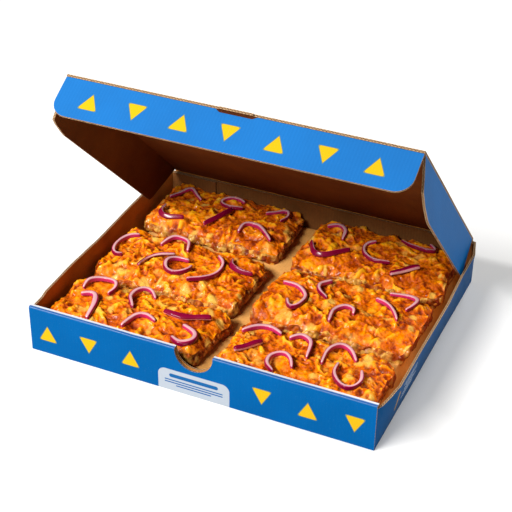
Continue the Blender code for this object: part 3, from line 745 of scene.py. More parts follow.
def insert_board():
    """A folded sheet: a level top between two slopes down to the floor, with long soft waves
    where it is bent and pressed."""
    side = np.linspace(0, 1, 8)
    half = INSERT_FOOT_HALF_WIDTH + (INSERT_TOP_HALF_WIDTH - INSERT_FOOT_HALF_WIDTH) * side
    level = np.linspace(-INSERT_TOP_HALF_WIDTH, INSERT_TOP_HALF_WIDTH, 160)
    x = np.concatenate((-half[:-1], level, half[-2::-1]))
    rise = FLOOR_TOP_Z + (INSERT_TOP_Z - FLOOR_TOP_Z) * side
    z = np.concatenate((rise[:-1], np.full(len(level), INSERT_TOP_Z), rise[-2::-1]))
    y = np.linspace(INSERT_FRONT_Y, INSERT_BACK_Y, 150)
    x, y, z = np.broadcast_arrays(x[:, None], y[None, :], z[:, None])
    raised = ease(z, FLOOR_TOP_Z, INSERT_TOP_Z)
    wave = rough_noise(x, y, 0.3, size=0.022, layers=3) ** 1.3
    wander = 0.0008 * np.sign(x) * (noise(x, y, z, size=0.03) - 0.5) * (np.abs(x) > 0.14)
    outer = stack(x + wander, y, z - INSERT_WAVE * raised * wave)
    inner = outer - np.array((0.0, 0.0, INSERT_SHEET))
    inner[..., 2] = np.maximum(inner[..., 2], FLOOR_TOP_Z - 0.0002)
    inner[..., 0] *= INSERT_NARROWING
    return board(
        "insert_sheet", outer, inner, stack(x, y), "tray", (kraft_insert, kraft_insert, edge_tan),
        ("insert_board",),
    )


insert_board()

# ---------------------------------------------------------------- lid

LID_FRAME = Matrix.Translation(HINGE) @ Matrix.Rotation(-LID_OPEN, 4, "X")
FLAP_FRAME = (
    LID_FRAME @ Matrix.Translation((0.0, -LID_LENGTH, 0.0)) @ Matrix.Rotation(-FRONT_FLAP_LEAN, 4, "X")
)
LID_BOW, FRONT_FLAP_BOW, SIDE_FLAP_BOW = 0.0006, -0.0005, 0.0004
CREASE_OUTER, CREASE_INNER, CREASE_WOBBLE = 0.0011, 0.0006, 0.0001


def lid_panel():
    """The lid: x across and s along it from the hinge, a little bowed, with a short tab in the
    middle of its front edge."""
    half, beside = LID_WIDTH / 2, 0.0001
    tab = (TAB_LEFT - beside, TAB_LEFT, TAB_RIGHT, TAB_RIGHT + beside)
    x = np.unique(np.concatenate((np.linspace(-half, half, 90), tab)))
    on_tab = (x > TAB_LEFT - beside / 2) & (x < TAB_RIGHT + beside / 2)
    reach = LID_LENGTH + TAB_REACH * on_tab
    share = np.linspace(0, 1, 70)[None, :]
    s = HINGE_CLEARANCE + share * (reach[:, None] - HINGE_CLEARANCE)
    x = x[:, None]
    bow = LID_BOW * (noise(x, s, 0.7, size=0.09) - 0.5) * np.sin(math.pi * share)
    outer = moved(stack(x, -s, BOARD + bow), LID_FRAME)
    inner = moved(stack(x, -s, bow), LID_FRAME)
    materials = (lid_print, kraft_painted_shade, edge_tan)
    return board("lid_sheet", outer, inner, stack(x, s), "lid", materials, ("lid_panel",))


def front_flap():
    """The lid's front flap: its depth falls to nothing over a rounded corner at each end, by a
    quarter circle, and its face bows a little. Its top steps down at the lid's tab."""
    half = LID_WIDTH / 2 - GAP
    corner = FRONT_FLAP_CORNER
    turn = np.linspace(0, math.pi / 2, 14)
    end = half - corner + corner * np.sin(turn)[::-1]
    x = np.concatenate((-end, np.linspace(-half + corner, half - corner, 70)[1:-1], end[::-1]))
    past = np.clip((np.abs(x) - (half - corner)) / corner, 0, 1)
    depth = FRONT_FLAP_DEPTH - corner * (1 - np.sqrt(1 - past**2))
    slot = (x > TAB_LEFT - 0.0004) & (x < TAB_RIGHT + 0.0004)
    top = np.where(slot, 0.0030, 0.0004)
    share = np.linspace(0, 1, 14)[None, :]
    down = top[:, None] + share * (depth - top)[:, None]
    x = x[:, None]
    bow = FRONT_FLAP_BOW * np.sin(math.pi * share) * (noise(x, down, 0.2, size=0.06) - 0.3)
    outer = moved(stack(x, bow, -down), FLAP_FRAME)
    inner = moved(stack(x, bow + BOARD, -down), FLAP_FRAME)
    return board(
        "front_flap_sheet", outer, inner, stack(x, down), "front_flap",
        (flap_print, kraft_painted_shade, edge_tan), ("lid_front_flap",),
    )


def side_flap(name, sign, front_edge, twist, body, node):
    """A side flap: the depth at each place along the lid follows its cut outline, and the flap
    is twisted, so that its splay grows from the hinge to the front."""
    corner_short, shoulder_short, shoulder_depth = front_edge
    corner, shoulder = LID_LENGTH - corner_short, LID_LENGTH - shoulder_short
    part_way = corner + 0.42 * (shoulder - corner)
    outline = np.array((
        (SIDE_FLAP_REAR, 0.0004), (SIDE_FLAP_REAR_CORNER - 0.002, SIDE_FLAP_DEPTH - 0.003),
        (SIDE_FLAP_REAR_CORNER + 0.001, SIDE_FLAP_DEPTH - 0.0004),
        (SIDE_FLAP_REAR_CORNER + 0.004, SIDE_FLAP_DEPTH), (corner - 0.014, SIDE_FLAP_DEPTH),
        (corner - 0.006, SIDE_FLAP_DEPTH - 0.0012),
        (part_way, SIDE_FLAP_DEPTH + 0.36 * (shoulder_depth - SIDE_FLAP_DEPTH)),
        (shoulder - 0.002, shoulder_depth + 0.004), (shoulder + 0.0005, shoulder_depth - 0.005),
        (SIDE_FLAP_FRONT, 0.0004),
    ))
    even = np.linspace(SIDE_FLAP_REAR, SIDE_FLAP_FRONT, 110)
    s = np.unique(np.concatenate((even, outline[:, 0])))[:, None]
    share = np.linspace(0, 1, 14)[None, :]
    down = share * np.interp(s, outline[:, 0], outline[:, 1])
    splay = SIDE_FLAP_SPLAY + math.radians(twist) * ease(s, 0.03, LID_LENGTH)
    bow = SIDE_FLAP_BOW * (noise(s, down, 0.9, size=0.05) - 0.5) * share
    edge, out = sign * LID_WIDTH / 2, np.sin(splay) * down + bow
    low = -np.cos(splay) * down
    outer = stack(edge + sign * out, -s, low)
    inner = stack(edge + sign * (out - BOARD * np.cos(splay)), -s, low - BOARD * np.sin(splay))
    return board(
        name, moved(outer, LID_FRAME), moved(inner, LID_FRAME), stack(s, down), body,
        (lid_flap_print, kraft_painted_shade, edge_tan), (node,),
    )


def hinge_crease():
    """The bent paper between the back wall and the lid: over half a turn of a thin roll
    carried along the hinge."""
    x = np.linspace(-LID_WIDTH / 2, LID_WIDTH / 2, 60)[:, None]
    turn = np.linspace(math.radians(-100), math.radians(100), 15)[None, :]
    y, z = HINGE[1] - 0.0004, HINGE[2] + 0.0002
    radius = CREASE_OUTER + CREASE_WOBBLE * (noise(x, 0.2, size=0.01) - 0.5)
    outer = stack(x, y + radius * np.cos(turn), z + radius * np.sin(turn))
    inner = stack(x, y + CREASE_INNER * np.cos(turn), z + CREASE_INNER * np.sin(turn))
    uv = stack(x, 0.002 * turn + 0.1)
    return board("hinge_crease", outer, inner, uv, "lid", (plain_print, kraft_wall, edge_tan))


lid_panel()
front_flap()
side_flap("left_flap_sheet", -1, LEFT_FLAP_FRONT, 1.7, "left_flap", "lid_left_flap")
side_flap("right_flap_sheet", 1, RIGHT_FLAP_FRONT, 2.4, "right_flap", "lid_right_flap")
hinge_crease()

# ---------------------------------------------------------------- topping, as one field

CELL = 0.0004
FIELD_X = np.arange(-0.170, 0.170, CELL)
FIELD_Y = np.arange(-0.134, 0.142, CELL)
LUCK_COLUMNS, LUCK_ROWS = 97, 89
LUCK = np.random.default_rng(5).random((LUCK_COLUMNS, LUCK_ROWS, 8))

# Scattered layers: pitch, half length and half width in metres, seed, share, squareness
LUMPS = (0.0086, 0.0072, 0.0048, 4, 0.75)
CRUMBS = (0.0036, 0.0029, 0.0020, 2, 0.70)
GRAINS = (0.0018, 0.0015, 0.0012, 1, 0.90)
SHREDS = (0.0062, 0.0078, 0.0014, 3, 0.85)
CHUNKS = (0.0150, 0.0090, 0.0030, 7, 0.60, 2.6)
BEANS = (0.0052, 0.0036, 0.0027, 6, 0.60)
LUMP_HEIGHT, CRUMB_HEIGHT, GRAIN_HEIGHT = 0.0017, 0.0008, 0.00035
SHRED_HEIGHT, CHUNK_HEIGHT = 0.0019, 0.0021

GROUND_SUNK = 0.0024
MOUND_HEIGHT, FOLD_HEIGHT, SWELL_HEIGHT = 0.0074, 0.0026, 0.0024
WARP = 0.0022
FINE_ROUGHNESS = 0.0013
MELT_RISE, MELT_WAVE = 0.0004, 0.0013
STRIP_SEAT, STRIP_BANK = 0.0004, 0.006  # the topping's limit under a strip, and its rise beside it
PRESS_STEP = 0.0012


def carrying_level(x, y):
    """The part's own swells, on which the onion strips lie: a sine across times a cosine along."""
    across = np.sin(x / 0.0097 + 1.7 * np.sin(y / 0.017))
    along = np.cos(y / 0.0083 + 1.3 * np.sin(x / 0.021))
    return TOPPING_TOP_Z + TOPPING_SWELL * across * along


def scattered(x, y, pitch, half_length, half_width, seed, share, squareness=2.0):
    """One oval lump in each square of a grid, shifted, sized and turned at random; the highest
    counts. A lump's height is 1 - r to the power 0.8, with r = |u|^n + |v|^n its oval distance.
    Gives the height from 0 to 1, the lump's own random number, and the place across it."""
    best, tone, across = np.zeros_like(x), np.zeros_like(x), np.zeros_like(x)
    column, row = np.floor(x / pitch).astype(int), np.floor(y / pitch).astype(int)
    reach = int(math.ceil(half_length * 1.3 / pitch))
    for i in range(-reach, reach + 1):
        for j in range(-reach, reach + 1):
            luck = LUCK[(column + i + 13 * seed) % LUCK_COLUMNS, (row + j + 29 * seed) % LUCK_ROWS]
            dx = x - (column + i + luck[..., 0]) * pitch
            dy = y - (row + j + luck[..., 1]) * pitch
            angle = luck[..., 2] * TAU
            length = half_length * (0.7 + 0.6 * luck[..., 3])
            width = half_width * (0.75 + 0.5 * luck[..., 4])
            u = (dx * np.cos(angle) + dy * np.sin(angle)) / length
            v = (dy * np.cos(angle) - dx * np.sin(angle)) / width
            r = np.abs(u) ** squareness + np.abs(v) ** squareness
            height = np.clip(1 - r, 0, 1) ** 0.8 * (0.6 + 0.4 * luck[..., 5])
            height = np.where(luck[..., 6] < share, height, 0)
            won = height > best
            best = np.where(won, height, best)
            tone = np.where(won, luck[..., 7], tone)
            across = np.where(won, v, across)
    return best, tone, across


def blurred(field, cells):
    """A field smoothed by three running means that reach this many cells each way."""
    width = 2 * cells + 1
    for _ in range(3):
        for axis in (0, 1):
            field = np.moveaxis(field, axis, 0)
            padded = np.concatenate((
                np.repeat(field[:1], cells, 0), field, np.repeat(field[-1:], cells + 1, 0)
            ))
            total = np.cumsum(padded, axis=0)
            total = np.concatenate((np.zeros_like(total[:1]), total))
            field = (total[width:width + len(field)] - total[:len(field)]) / width
            field = np.moveaxis(field, 0, axis)
    return field


# Pale pools, of melted cheese and some painted highlights: (x, y, half length, half width, turn in
# degrees), millimetres
CHEESE_AND_HIGHLIGHTS = (
    (-129, 109, 4, 3, 0), (-110, 105, 5, 3, 20), (-97, 101, 3, 2, 0), (-101, 118, 3, 2, 0),
    (-147, 83, 4, 5, 0), (-139, 80, 4, 3, 0), (-101, 54, 13, 4, 80), (-132, 52, 10, 4, 100),
    (-88, 48, 5, 4, 120), (-79, 45, 5, 3, 90), (-65, 51, 9, 4, 100), (-28, 87, 5, 3, 40),
    (-15, 95, 6, 4, 100), (-9, 87, 5, 3, 100), (-30, 46, 4, 3, 0), (-84, 62, 4, 3, 60),
    (-127, 27, 7, 4, 130), (-7, 4, 9, 3, 110), (-120, -17, 7, 3, 90), (-137, -27, 6, 4, 60),
    (-130, -34, 6, 4, 0), (-134, -43, 6, 4, 80), (-102, -41, 7, 5, 130), (-90, -34, 6, 2, 90),
    (-95, -49, 6, 4, 150), (-145, -47, 5, 3, 0), (-115, -49, 6, 4, 20), (-77, -46, 6, 4, 30),
    (-60, -38, 7, 5, 0), (-66, -54, 4, 3, 70), (-31, -41, 7, 5, 140), (-10, -27, 4, 3, 0),
    (-8, -38, 4, 4, 0), (-108, -65, 4, 5, 0), (-22, -64, 6, 3, 140), (-8, -72, 6, 4, 120),
    (-60, -100, 4, 3, 60), (-115, -84, 4, 3, 0), (-6, -100, 3, 5, 0), (-104, -100, 6, 3, 120),
    (-112, -120, 3, 3, 0), (-55, -73, 4, 4, 0), (13, 90, 9, 3, 95), (32, 108, 4, 4, 0),
    (113, 86, 3, 2, 0), (147, 85, 3, 2, 90), (155, 77, 6, 2, 95), (149, 57, 5, 3, 80),
    (98, 46, 4, 3, 130), (123, 50, 5, 3, 100), (22, 43, 5, 3, 130), (14, 41, 5, 3, 90),
    (43, 53, 5, 2, 110), (66, 36, 9, 2, 30), (88, 27, 4, 3, 60), (37, 27, 3, 2, 0),
    (81, 13, 4, 3, 60), (52, -8, 3, 3, 0), (72, -5, 5, 4, 0), (41, -17, 6, 3, 150),
    (126, -7, 4, 2, 20), (105, -4, 6, 2, 160), (43, -35, 6, 3, 100), (68, -44, 8, 6, 120),
    (108, -44, 5, 4, 0), (91, -44, 3, 4, 0), (133, -73, 8, 5, 100), (127, -80, 5, 4, 0),
    (127, -102, 4, 4, 0), (97, -110, 4, 3, 60), (47, -120, 4, 3, 0), (25, -76, 3, 3, 0),
    (150, -8, 5, 3, 100), (146, 8, 4, 3, 0), (155, -33, 4, 3, 100), (138, -43, 9, 3, 5),
    (26, -62, 4, 2, 20), (152, -116, 3, 3, 0), (92, -85, 2, 4, 60), (15, -112, 2, 2, 0),
)
# Smooth bright pools of sauce and cheese together
GOLD = (
    (-105, 84, 13, 9, 20), (-55, 54, 6, 6, 0), (-18, 56, 9, 6, 20), (-130, -69, 9, 7, 0),
    (-80, -77, 8, 7, 30), (-38, -68, 10, 5, 20), (-100, 20, 6, 5, 0), (-45, 3, 5, 8, 0),
    (38, 86, 7, 5, 0), (28, -22, 8, 9, 0), (110, 5, 8, 5, 130), (140, -22, 9, 6, 0),
    (65, -110, 6, 6, 0), (115, -35, 9, 5, 0), (30, 52, 12, 5, 160), (120, -60, 8, 5, 0),
)


POOL_REACH, POOL_SHAKE, POOL_SOFT = 1.22, 0.55, 0.75  # as shares of a pool's half size


def pools(x, y, table, seed):
    """Where melted pools lie, 0 to 1: each is an oval with an outline shaken by noise."""
    most = np.zeros_like(x)
    shake = POOL_SHAKE * (rough_noise(x, y, seed, size=0.006) - 0.5)
    for cx, cy, half_length, half_width, degrees in table:
        angle = math.radians(degrees)
        dx, dy = x - cx * MM, y - cy * MM
        u = (dx * math.cos(angle) + dy * math.sin(angle)) / (half_length * MM)
        v = (dy * math.cos(angle) - dx * math.sin(angle)) / (half_width * MM)
        most = np.maximum(most, ease(POOL_REACH - np.sqrt(u * u + v * v) + shake, 0.0, POOL_SOFT))
    return most


BEND_REACH = 0.0032  # of each running mean along an onion strip's route


def smooth_route(points, step):
    """A Catmull-Rom curve near the points, at even steps of this length. Two running means
    along it round off its tighter bends; its ends stay where they are."""
    p = np.array(points, float) * MM
    around = np.concatenate((2 * p[:1] - p[1:2], p, 2 * p[-1:] - p[-2:-1]))
    t = np.linspace(0, 1, 40, endpoint=False)[:, None]
    parts = []
    for before, start, end, after in zip(around, around[1:], around[2:], around[3:]):
        square = (2 * before - 5 * start + 4 * end - after) * t**2
        cube = (3 * start - before - 3 * end + after) * t**3
        parts.append(start + ((end - before) * t + square + cube) / 2)
    dense = np.concatenate((*parts, p[-1:]))
    length = np.concatenate(([0], np.cumsum(np.linalg.norm(np.diff(dense, axis=0), axis=1))))
    even = np.linspace(0, length[-1], max(8, int(round(length[-1] / step))))
    route = np.stack([np.interp(even, length, dense[:, k]) for k in (0, 1)], axis=-1)
    reach = min(int(round(BEND_REACH / step)), len(route) // 3)
    window = np.ones(2 * reach + 1) / (2 * reach + 1)
    for _ in range(2):
        padded = np.concatenate((
            2 * route[0] - route[reach:0:-1], route, 2 * route[-1] - route[-2:-reach - 2:-1]
        ))
        route = np.stack([np.convolve(padded[:, k], window, "valid") for k in (0, 1)], axis=-1)
    return route


def topping_ground(x, y, level):
    """The ground under the lumps: the carrying level with broad mounds, folds that rise to a
    crest where a noise crosses its middle, and smaller swells."""
    mound = rough_noise(x, y, 1.0, size=0.019)
    folds = 1 - 2 * np.abs(rough_noise(x, y, 9.0, size=0.0095) - 0.5)
    ground = level - GROUND_SUNK + MOUND_HEIGHT * (mound - 0.5) + FOLD_HEIGHT * (folds - 0.62)
    return ground + SWELL_HEIGHT * (rough_noise(x, y, 14.0, size=0.0062, layers=2) - 0.5)


def beside_strips(x, y, level):
    """The height that the topping stays under near the onion strips, and how far each place is
    free of them, from 0 to 1."""
    limit, free = np.ones_like(x), np.ones_like(x)
    for width, _, points in ONIONS:
        route = smooth_route(points, PRESS_STEP)
        low, high = route.min(axis=0) - 0.010, route.max(axis=0) + 0.010
        i0, i1 = np.searchsorted(FIELD_X, (low[0], high[0]))
        j0, j1 = np.searchsorted(FIELD_Y, (low[1], high[1]))
        near = np.s_[i0:i1, j0:j1]
        dx, dy = x[near][..., None] - route[:, 0], y[near][..., None] - route[:, 1]
        away = np.sqrt((dx**2 + dy**2).min(axis=-1))
        half = width / 2 * MM
        bank = level[near] + STRIP_SEAT + STRIP_BANK * ease(away, half, half + 0.0045)
        limit[near] = np.minimum(limit[near], bank)
        free[near] = np.minimum(free[near], ease(away, half, half + 0.0065))
    return limit, free


def make_field():
    """Height, tone, cheese, painted shade of the hollows and free share of the topping over the
    whole box. The ground carries lumps, crumbs, shreds and chunks; melted pools smooth them over;
    near an onion strip the topping is pressed down to the strip's level. The tone runs from 0,
    brown, to 1, gold, and rises on what stands above its surroundings, a painted highlight. Some
    of the cheese pools are painted highlights too."""
    x, y = np.meshgrid(FIELD_X, FIELD_Y, indexing="ij")
    level = carrying_level(x, y)
    ground = topping_ground(x, y, level)
    warp_x = x + WARP * (noise(x, y, 51.0, size=0.005) - 0.5)
    warp_y = y + WARP * (noise(x, y, 52.0, size=0.005) - 0.5)
    lump, lump_tone, _ = scattered(warp_x, warp_y, *LUMPS)
    crumb, _, _ = scattered(warp_x, warp_y, *CRUMBS)
    grain, grain_tone, _ = scattered(x, y, *GRAINS)
    shred, shred_tone, shred_across = scattered(warp_x, warp_y, *SHREDS)
    chunk, chunk_tone, _ = scattered(warp_x, warp_y, *CHUNKS)
    # The pale pools are melted cheese, and some of them are painted highlights.
    gold, cheese = pools(x, y, GOLD, 2.0), pools(x, y, CHEESE_AND_HIGHLIGHTS, 3.0)
    stray = ease(rough_noise(x, y, 12.0, size=0.012), 0.68, 0.80)
    cheese = np.maximum(cheese, 0.5 * stray)

    stringy = ease(rough_noise(x, y, 4.0, size=0.022), 0.44, 0.54)
    shred = shred * stringy
    fibre = 0.0002 * np.cos(shred_across * 6 + 4 * noise(x, y, 7.0, size=0.003))
    height = ground + LUMP_HEIGHT * lump + CRUMB_HEIGHT * crumb * (1 - 0.5 * stringy)
    laid = ground + 0.0006 + 0.0010 * lump + (SHRED_HEIGHT + fibre) * shred
    height = np.where(shred > 0, np.maximum(height, laid), height)
    height = blurred(height + CHUNK_HEIGHT * ease(chunk, 0.0, 0.9), 1)
    melted = blurred(height, 4) + MELT_RISE + MELT_WAVE * (noise(x, y, 5.0, size=0.0040) - 0.5)
    height = height + (melted - height) * np.maximum(0.8 * cheese, 0.5 * gold)
    rough = FINE_ROUGHNESS * (rough_noise(x, y, 61.0, size=0.0030, layers=3) - 0.5)
    rough = rough + GRAIN_HEIGHT * grain
    height = height + rough * (1 - 0.72 * cheese) * (1 - 0.35 * gold)
    limit, free = beside_strips(x, y, level)
    height = np.minimum(height, limit)

    # Painted shade: how far each place lies below its surroundings becomes a share that darkens it.
    near = ease(blurred(height, 3) - height, 0.00012, 0.0007)
    wide = ease(blurred(height, 9) - height, 0.0004, 0.0022)
    crevice_shade = np.clip(0.35 * near + 0.75 * wide, 0, 1)
    # Painted highlight: what stands above its surroundings is made lighter in tone.
    proud_highlight = ease(height - blurred(height, 7), 0.0, 0.0014)
    scorched = ease(rough_noise(x, y, 33.0, size=0.0055, layers=2), 0.70, 0.80)
    tone = 0.34 + 0.66 * (rough_noise(x, y, 70.0, size=0.011) - 0.5)
    tone += 0.40 * (rough_noise(x, y, 71.0, size=0.0030, layers=2) - 0.5)
    tone += 0.12 * (grain_tone - 0.5) * grain + 0.08 * (lump_tone - 0.5) * lump
    tone += (0.10 + 0.12 * (shred_tone - 0.5)) * ease(shred, 0.1, 0.6)
    tone += (0.14 + 0.20 * (chunk_tone - 0.5)) * ease(chunk, 0.05, 0.45)
    # The raised places' lighter tone is a painted highlight.
    tone += 0.34 * proud_highlight + 0.18 * gold - 0.20 * scorched * (1 - gold)
    tone = np.clip(tone, 0, 1)
    return {"height": height, "tone": tone, "cheese": cheese, "crevice_shade": crevice_shade, "free": free}


FIELD = make_field()


def field_at(name, x, y):
    """A field's value at any place, blended between its four nearest cells."""
    field = FIELD[name]
    u = np.clip((x - FIELD_X[0]) / CELL, 0, len(FIELD_X) - 1.001)
    v = np.clip((y - FIELD_Y[0]) / CELL, 0, len(FIELD_Y) - 1.001)
    i, j = u.astype(int), v.astype(int)
    u, v = u - i, v - j
    return (
        field[i, j] * (1 - u) * (1 - v) + field[i + 1, j] * u * (1 - v)
        + field[i, j + 1] * (1 - u) * v + field[i + 1, j + 1] * u * v
    )


# ---------------------------------------------------------------- materials of the food


def topping_finish():
    """Sauced chicken and cheese: the lumps' tones run from brown-red through orange to gold, pools
    of cheese are pale, some of them painted highlights, hollows are painted dark as shade, and
    small wet spots shine."""
    finish = Finish("sauced_topping")
    place = finish.place()
    tone, cheese = finish.value("tone"), finish.value("cheese")
    crevice_shade = finish.value("crevice_shade")
    fine = finish.grain(place, 900.0, 3.0, 0.6)
    broad = finish.grain(place, 180.0, 3.0)
    shaken = finish.math("ADD", tone, finish.math("MULTIPLY_ADD", fine, 0.6, -0.3))
    shaken = finish.math("ADD", shaken, finish.math("MULTIPLY_ADD", broad, 0.4, -0.2))
    colour = finish.steps(
        shaken, (0.0, (0.22, 0.019, 0.0003)), (0.20, (0.48, 0.064, 0.0003)),
        (0.40, (0.76, 0.152, 0.0003)), (0.62, (0.94, 0.272, 0.0005)), (0.90, (1.0, 0.44, 0.008)),
    )
    # The pale cheese colour also paints the highlights among the pools.
    pale_share = finish.steps(fine, (0.35, 0.0), (0.68, 1.0))
    pale = finish.mix(pale_share, (0.82, 0.40, 0.030), (0.92, 0.64, 0.15))
    colour = finish.mix(finish.math("MULTIPLY", cheese, 0.90), colour, pale)
    # Painted shade: the hollows are darkened towards near black, less under cheese.
    dark = finish.math("MULTIPLY", crevice_shade, finish.math("MULTIPLY_ADD", cheese, -0.62, 0.84))
    colour = finish.mix(dark, colour, (0.13, 0.014, 0.0005))
    speck = finish.steps(finish.grain(place, 420.0, 2.0), (0.72, 0.0), (0.78, 0.6))
    colour = finish.mix(speck, colour, (0.50, 0.03, 0.004))
    normal = finish.bump(fine, 0.5, 0.0005)
    wet = finish.steps(finish.grain(place, 260.0, 2.0), (0.46, 0.0), (0.54, 1.0))
    rough = finish.math("MULTIPLY_ADD", wet, -0.56, 0.72)
    return finish.finish(
        Base_Color=colour, Roughness=rough, Normal=normal, Specular_IOR_Level=0.27
    )


def crust_finish():
    """Baked dough: amber at the top, brown and crisp towards the bottom, with blisters."""
    finish = Finish("baked_crust")
    place = finish.place()
    bake = finish.value("bake")
    blister = finish.grain(place, 260.0, 4.0, 0.6)
    broad = finish.grain(place, 60.0, 3.0)
    shaken = finish.math("ADD", bake, finish.math("MULTIPLY_ADD", blister, 0.7, -0.35))
    shaken = finish.math("ADD", shaken, finish.math("MULTIPLY_ADD", broad, 0.4, -0.2))
    colour = finish.steps(
        shaken, (0.0, (0.66, 0.27, 0.030)), (0.35, (0.46, 0.13, 0.008)),
        (0.65, (0.24, 0.048, 0.003)), (1.0, (0.06, 0.010, 0.001)),
    )
    normal = finish.bump(blister, 0.7, 0.0012)
    rough = finish.math("MULTIPLY_ADD", blister, 0.3, 0.3)
    return finish.finish(
        Base_Color=colour, Roughness=rough, Normal=normal, Specular_IOR_Level=0.35,
        Coat_Weight=0.15, Coat_Roughness=0.2,
    )


def onion_finish():
    """A red onion strip: the cut face is pale with pink lines, the outer skin dark magenta."""
    finish = Finish("red_onion")
    skin, streak = finish.value("skin"), finish.value("along")
    place = finish.place()
    fine = finish.grain(place, 500.0, 3.0)
    line_place = finish.add(
        "ShaderNodeCombineXYZ",
        {0: finish.math("MULTIPLY", streak, 60.0), 1: finish.math("MULTIPLY", skin, 9.0)},
    )
    lines = finish.grain(line_place, 1.0, 3.0)
    shaken = finish.math("ADD", skin, finish.math("MULTIPLY_ADD", lines, 0.24, -0.12))
    colour = finish.steps(
        shaken, (0.0, (0.76, 0.44, 0.44)), (0.20, (0.70, 0.27, 0.33)),
        (0.36, (0.58, 0.045, 0.165)), (0.58, (0.42, 0.003, 0.078)), (1.0, (0.23, 0.001, 0.032)),
    )
    normal = finish.bump(lines, 0.25, 0.0004)
    normal = finish.bump(fine, 0.2, 0.0003, normal)
    return finish.finish(
        Base_Color=colour, Roughness=0.22, Normal=normal, Specular_IOR_Level=0.45
    )


topping_skin = topping_finish()
crust_skin = crust_finish()
onion_skin = onion_finish()

# ---------------------------------------------------------------- slices


def slice_size(corners):
    """A slice's mean width and depth."""
    c = np.array(corners) * MM
    width = np.linalg.norm(c[1] - c[0]) + np.linalg.norm(c[2] - c[3])
    depth = np.linalg.norm(c[3] - c[0]) + np.linalg.norm(c[2] - c[1])
    return width / 2, depth / 2


def slice_place(corners, u, v, inset=0.0):
    """Places on a slice for u and v from -1 to 1: the square is drawn in to a rounded one,
    |u|^n + |v|^n = 1, inset, and blended between the four corners."""
    power = (np.abs(u) ** SQUARENESS + np.abs(v) ** SQUARENESS) ** (1 / SQUARENESS)
    squeeze = np.maximum(np.abs(u), np.abs(v)) / np.maximum(power, 1e-9)
    width, depth = slice_size(corners)
    s = (u * squeeze * (1 - 2 * inset / width) + 1) / 2
    t = (v * squeeze * (1 - 2 * inset / depth) + 1) / 2
    c = np.array(corners) * MM
    s, t = s[..., None], t[..., None]
    return (c[0] * (1 - s) + c[1] * s) * (1 - t) + (c[3] * (1 - s) + c[2] * s) * t


def rim_places(count_u, count_v):
    """u and v round the square from -1 to 1, in the order of border()."""
    u, v = np.meshgrid(np.linspace(-1, 1, count_u), np.linspace(-1, 1, count_v), indexing="ij")
    loop = border(count_u, count_v)
    return u.ravel()[loop], v.ravel()[loop]


def outward(ring):
    """Unit vectors that point out of a closed ring of flat points, whichever way it runs."""
    along = np.roll(ring, -1, axis=0) - np.roll(ring, 1, axis=0)
    side = np.stack((along[:, 1], -along[:, 0]), axis=-1)
    side /= np.linalg.norm(side, axis=1, keepdims=True) + 1e-12
    if np.mean(np.sum(side * (ring - ring.mean(axis=0)), axis=1)) < 0:
        side = -side
    return side


DOUGH_TOP_FREE = 0.0032  # the dough's rim ends this far below the topping's foot
DOUGH_FRONT_FREE, DOUGH_RIGHT_FREE, DOUGH_MIDDLE_FREE = 0.0040, 0.0010, 0.0072
CRUST_LUMPS, CRUST_WAVES, CRUST_PROUD = 0.0016, 0.0014, 0.0004


def build_dough(name, corners):
    """A slab of baked dough: rings of points from foot to top, pushed out and in by noise, with
    a rounded foot, closed by a point in the middle of each end."""
    u, v = rim_places(150, 80)
    levels = np.linspace(0, 1, 13)
    inset = 0.0020 * (1 - ease(levels, 0.0, 0.16)) + 0.0030 * ease(levels, 0.60, 1.0)
    inset = inset - 0.0004 * np.sin(math.pi * levels)
    ring = slice_place(corners, u, v)
    out = outward(ring)
    low = DOUGH_TOP_FREE + DOUGH_FRONT_FREE * np.clip(-out[:, 1], 0, 1)
    low = low + DOUGH_RIGHT_FREE * np.clip(out[:, 0], 0, 1)
    even_z = DOUGH_BOTTOM_Z + levels[:, None] * (DOUGH_HEIGHT - DOUGH_TOP_FREE)
    height = DOUGH_BOTTOM_Z + levels[:, None] * (DOUGH_HEIGHT - low)[None, :]
    x, y = ring[None, :, 0], ring[None, :, 1]
    lumps = rough_noise(x, y, even_z, size=0.006, layers=3) - 0.55
    waves = noise(x, y, even_z * 0.4, size=0.018) - 0.5
    push = -inset[:, None] + CRUST_LUMPS * lumps + CRUST_WAVES * waves - 0.0006
    push = np.minimum(push, CRUST_PROUD)
    rings = ring[None] + push[..., None] * out[None]
    flat = np.concatenate((rings, height[..., None]), axis=-1).reshape(-1, 3)
    count, last = len(u), len(flat)
    lower = flat[:count].mean(axis=0)
    upper = np.array((lower[0], lower[1], DOUGH_BOTTOM_Z + DOUGH_HEIGHT - DOUGH_MIDDLE_FREE))
    flat = np.concatenate((flat, [lower, upper]))
    faces = grid_faces(len(levels), count, wrap=True)
    foot = np.arange(count)
    ends = np.concatenate((fan(foot, last)[:, (1, 0, 2)], fan(foot + last - count, last + 1)))
    if turned_in(flat, faces[0], np.append(out[0], 0)):
        faces, ends = faces[:, ::-1], ends[:, ::-1]
    bake = 0.20 + 0.75 * (1 - ease(levels, 0.0, 0.75))
    bake = np.append(np.repeat(bake, count), (0.9, 0.3))
    return new_piece(
        "dough_slice_" + name, flat, [(faces, crust_skin, None), (ends, crust_skin, None)], "tray",
        ("dough_" + name,), {"bake": bake}, sharp=80.0,
    )


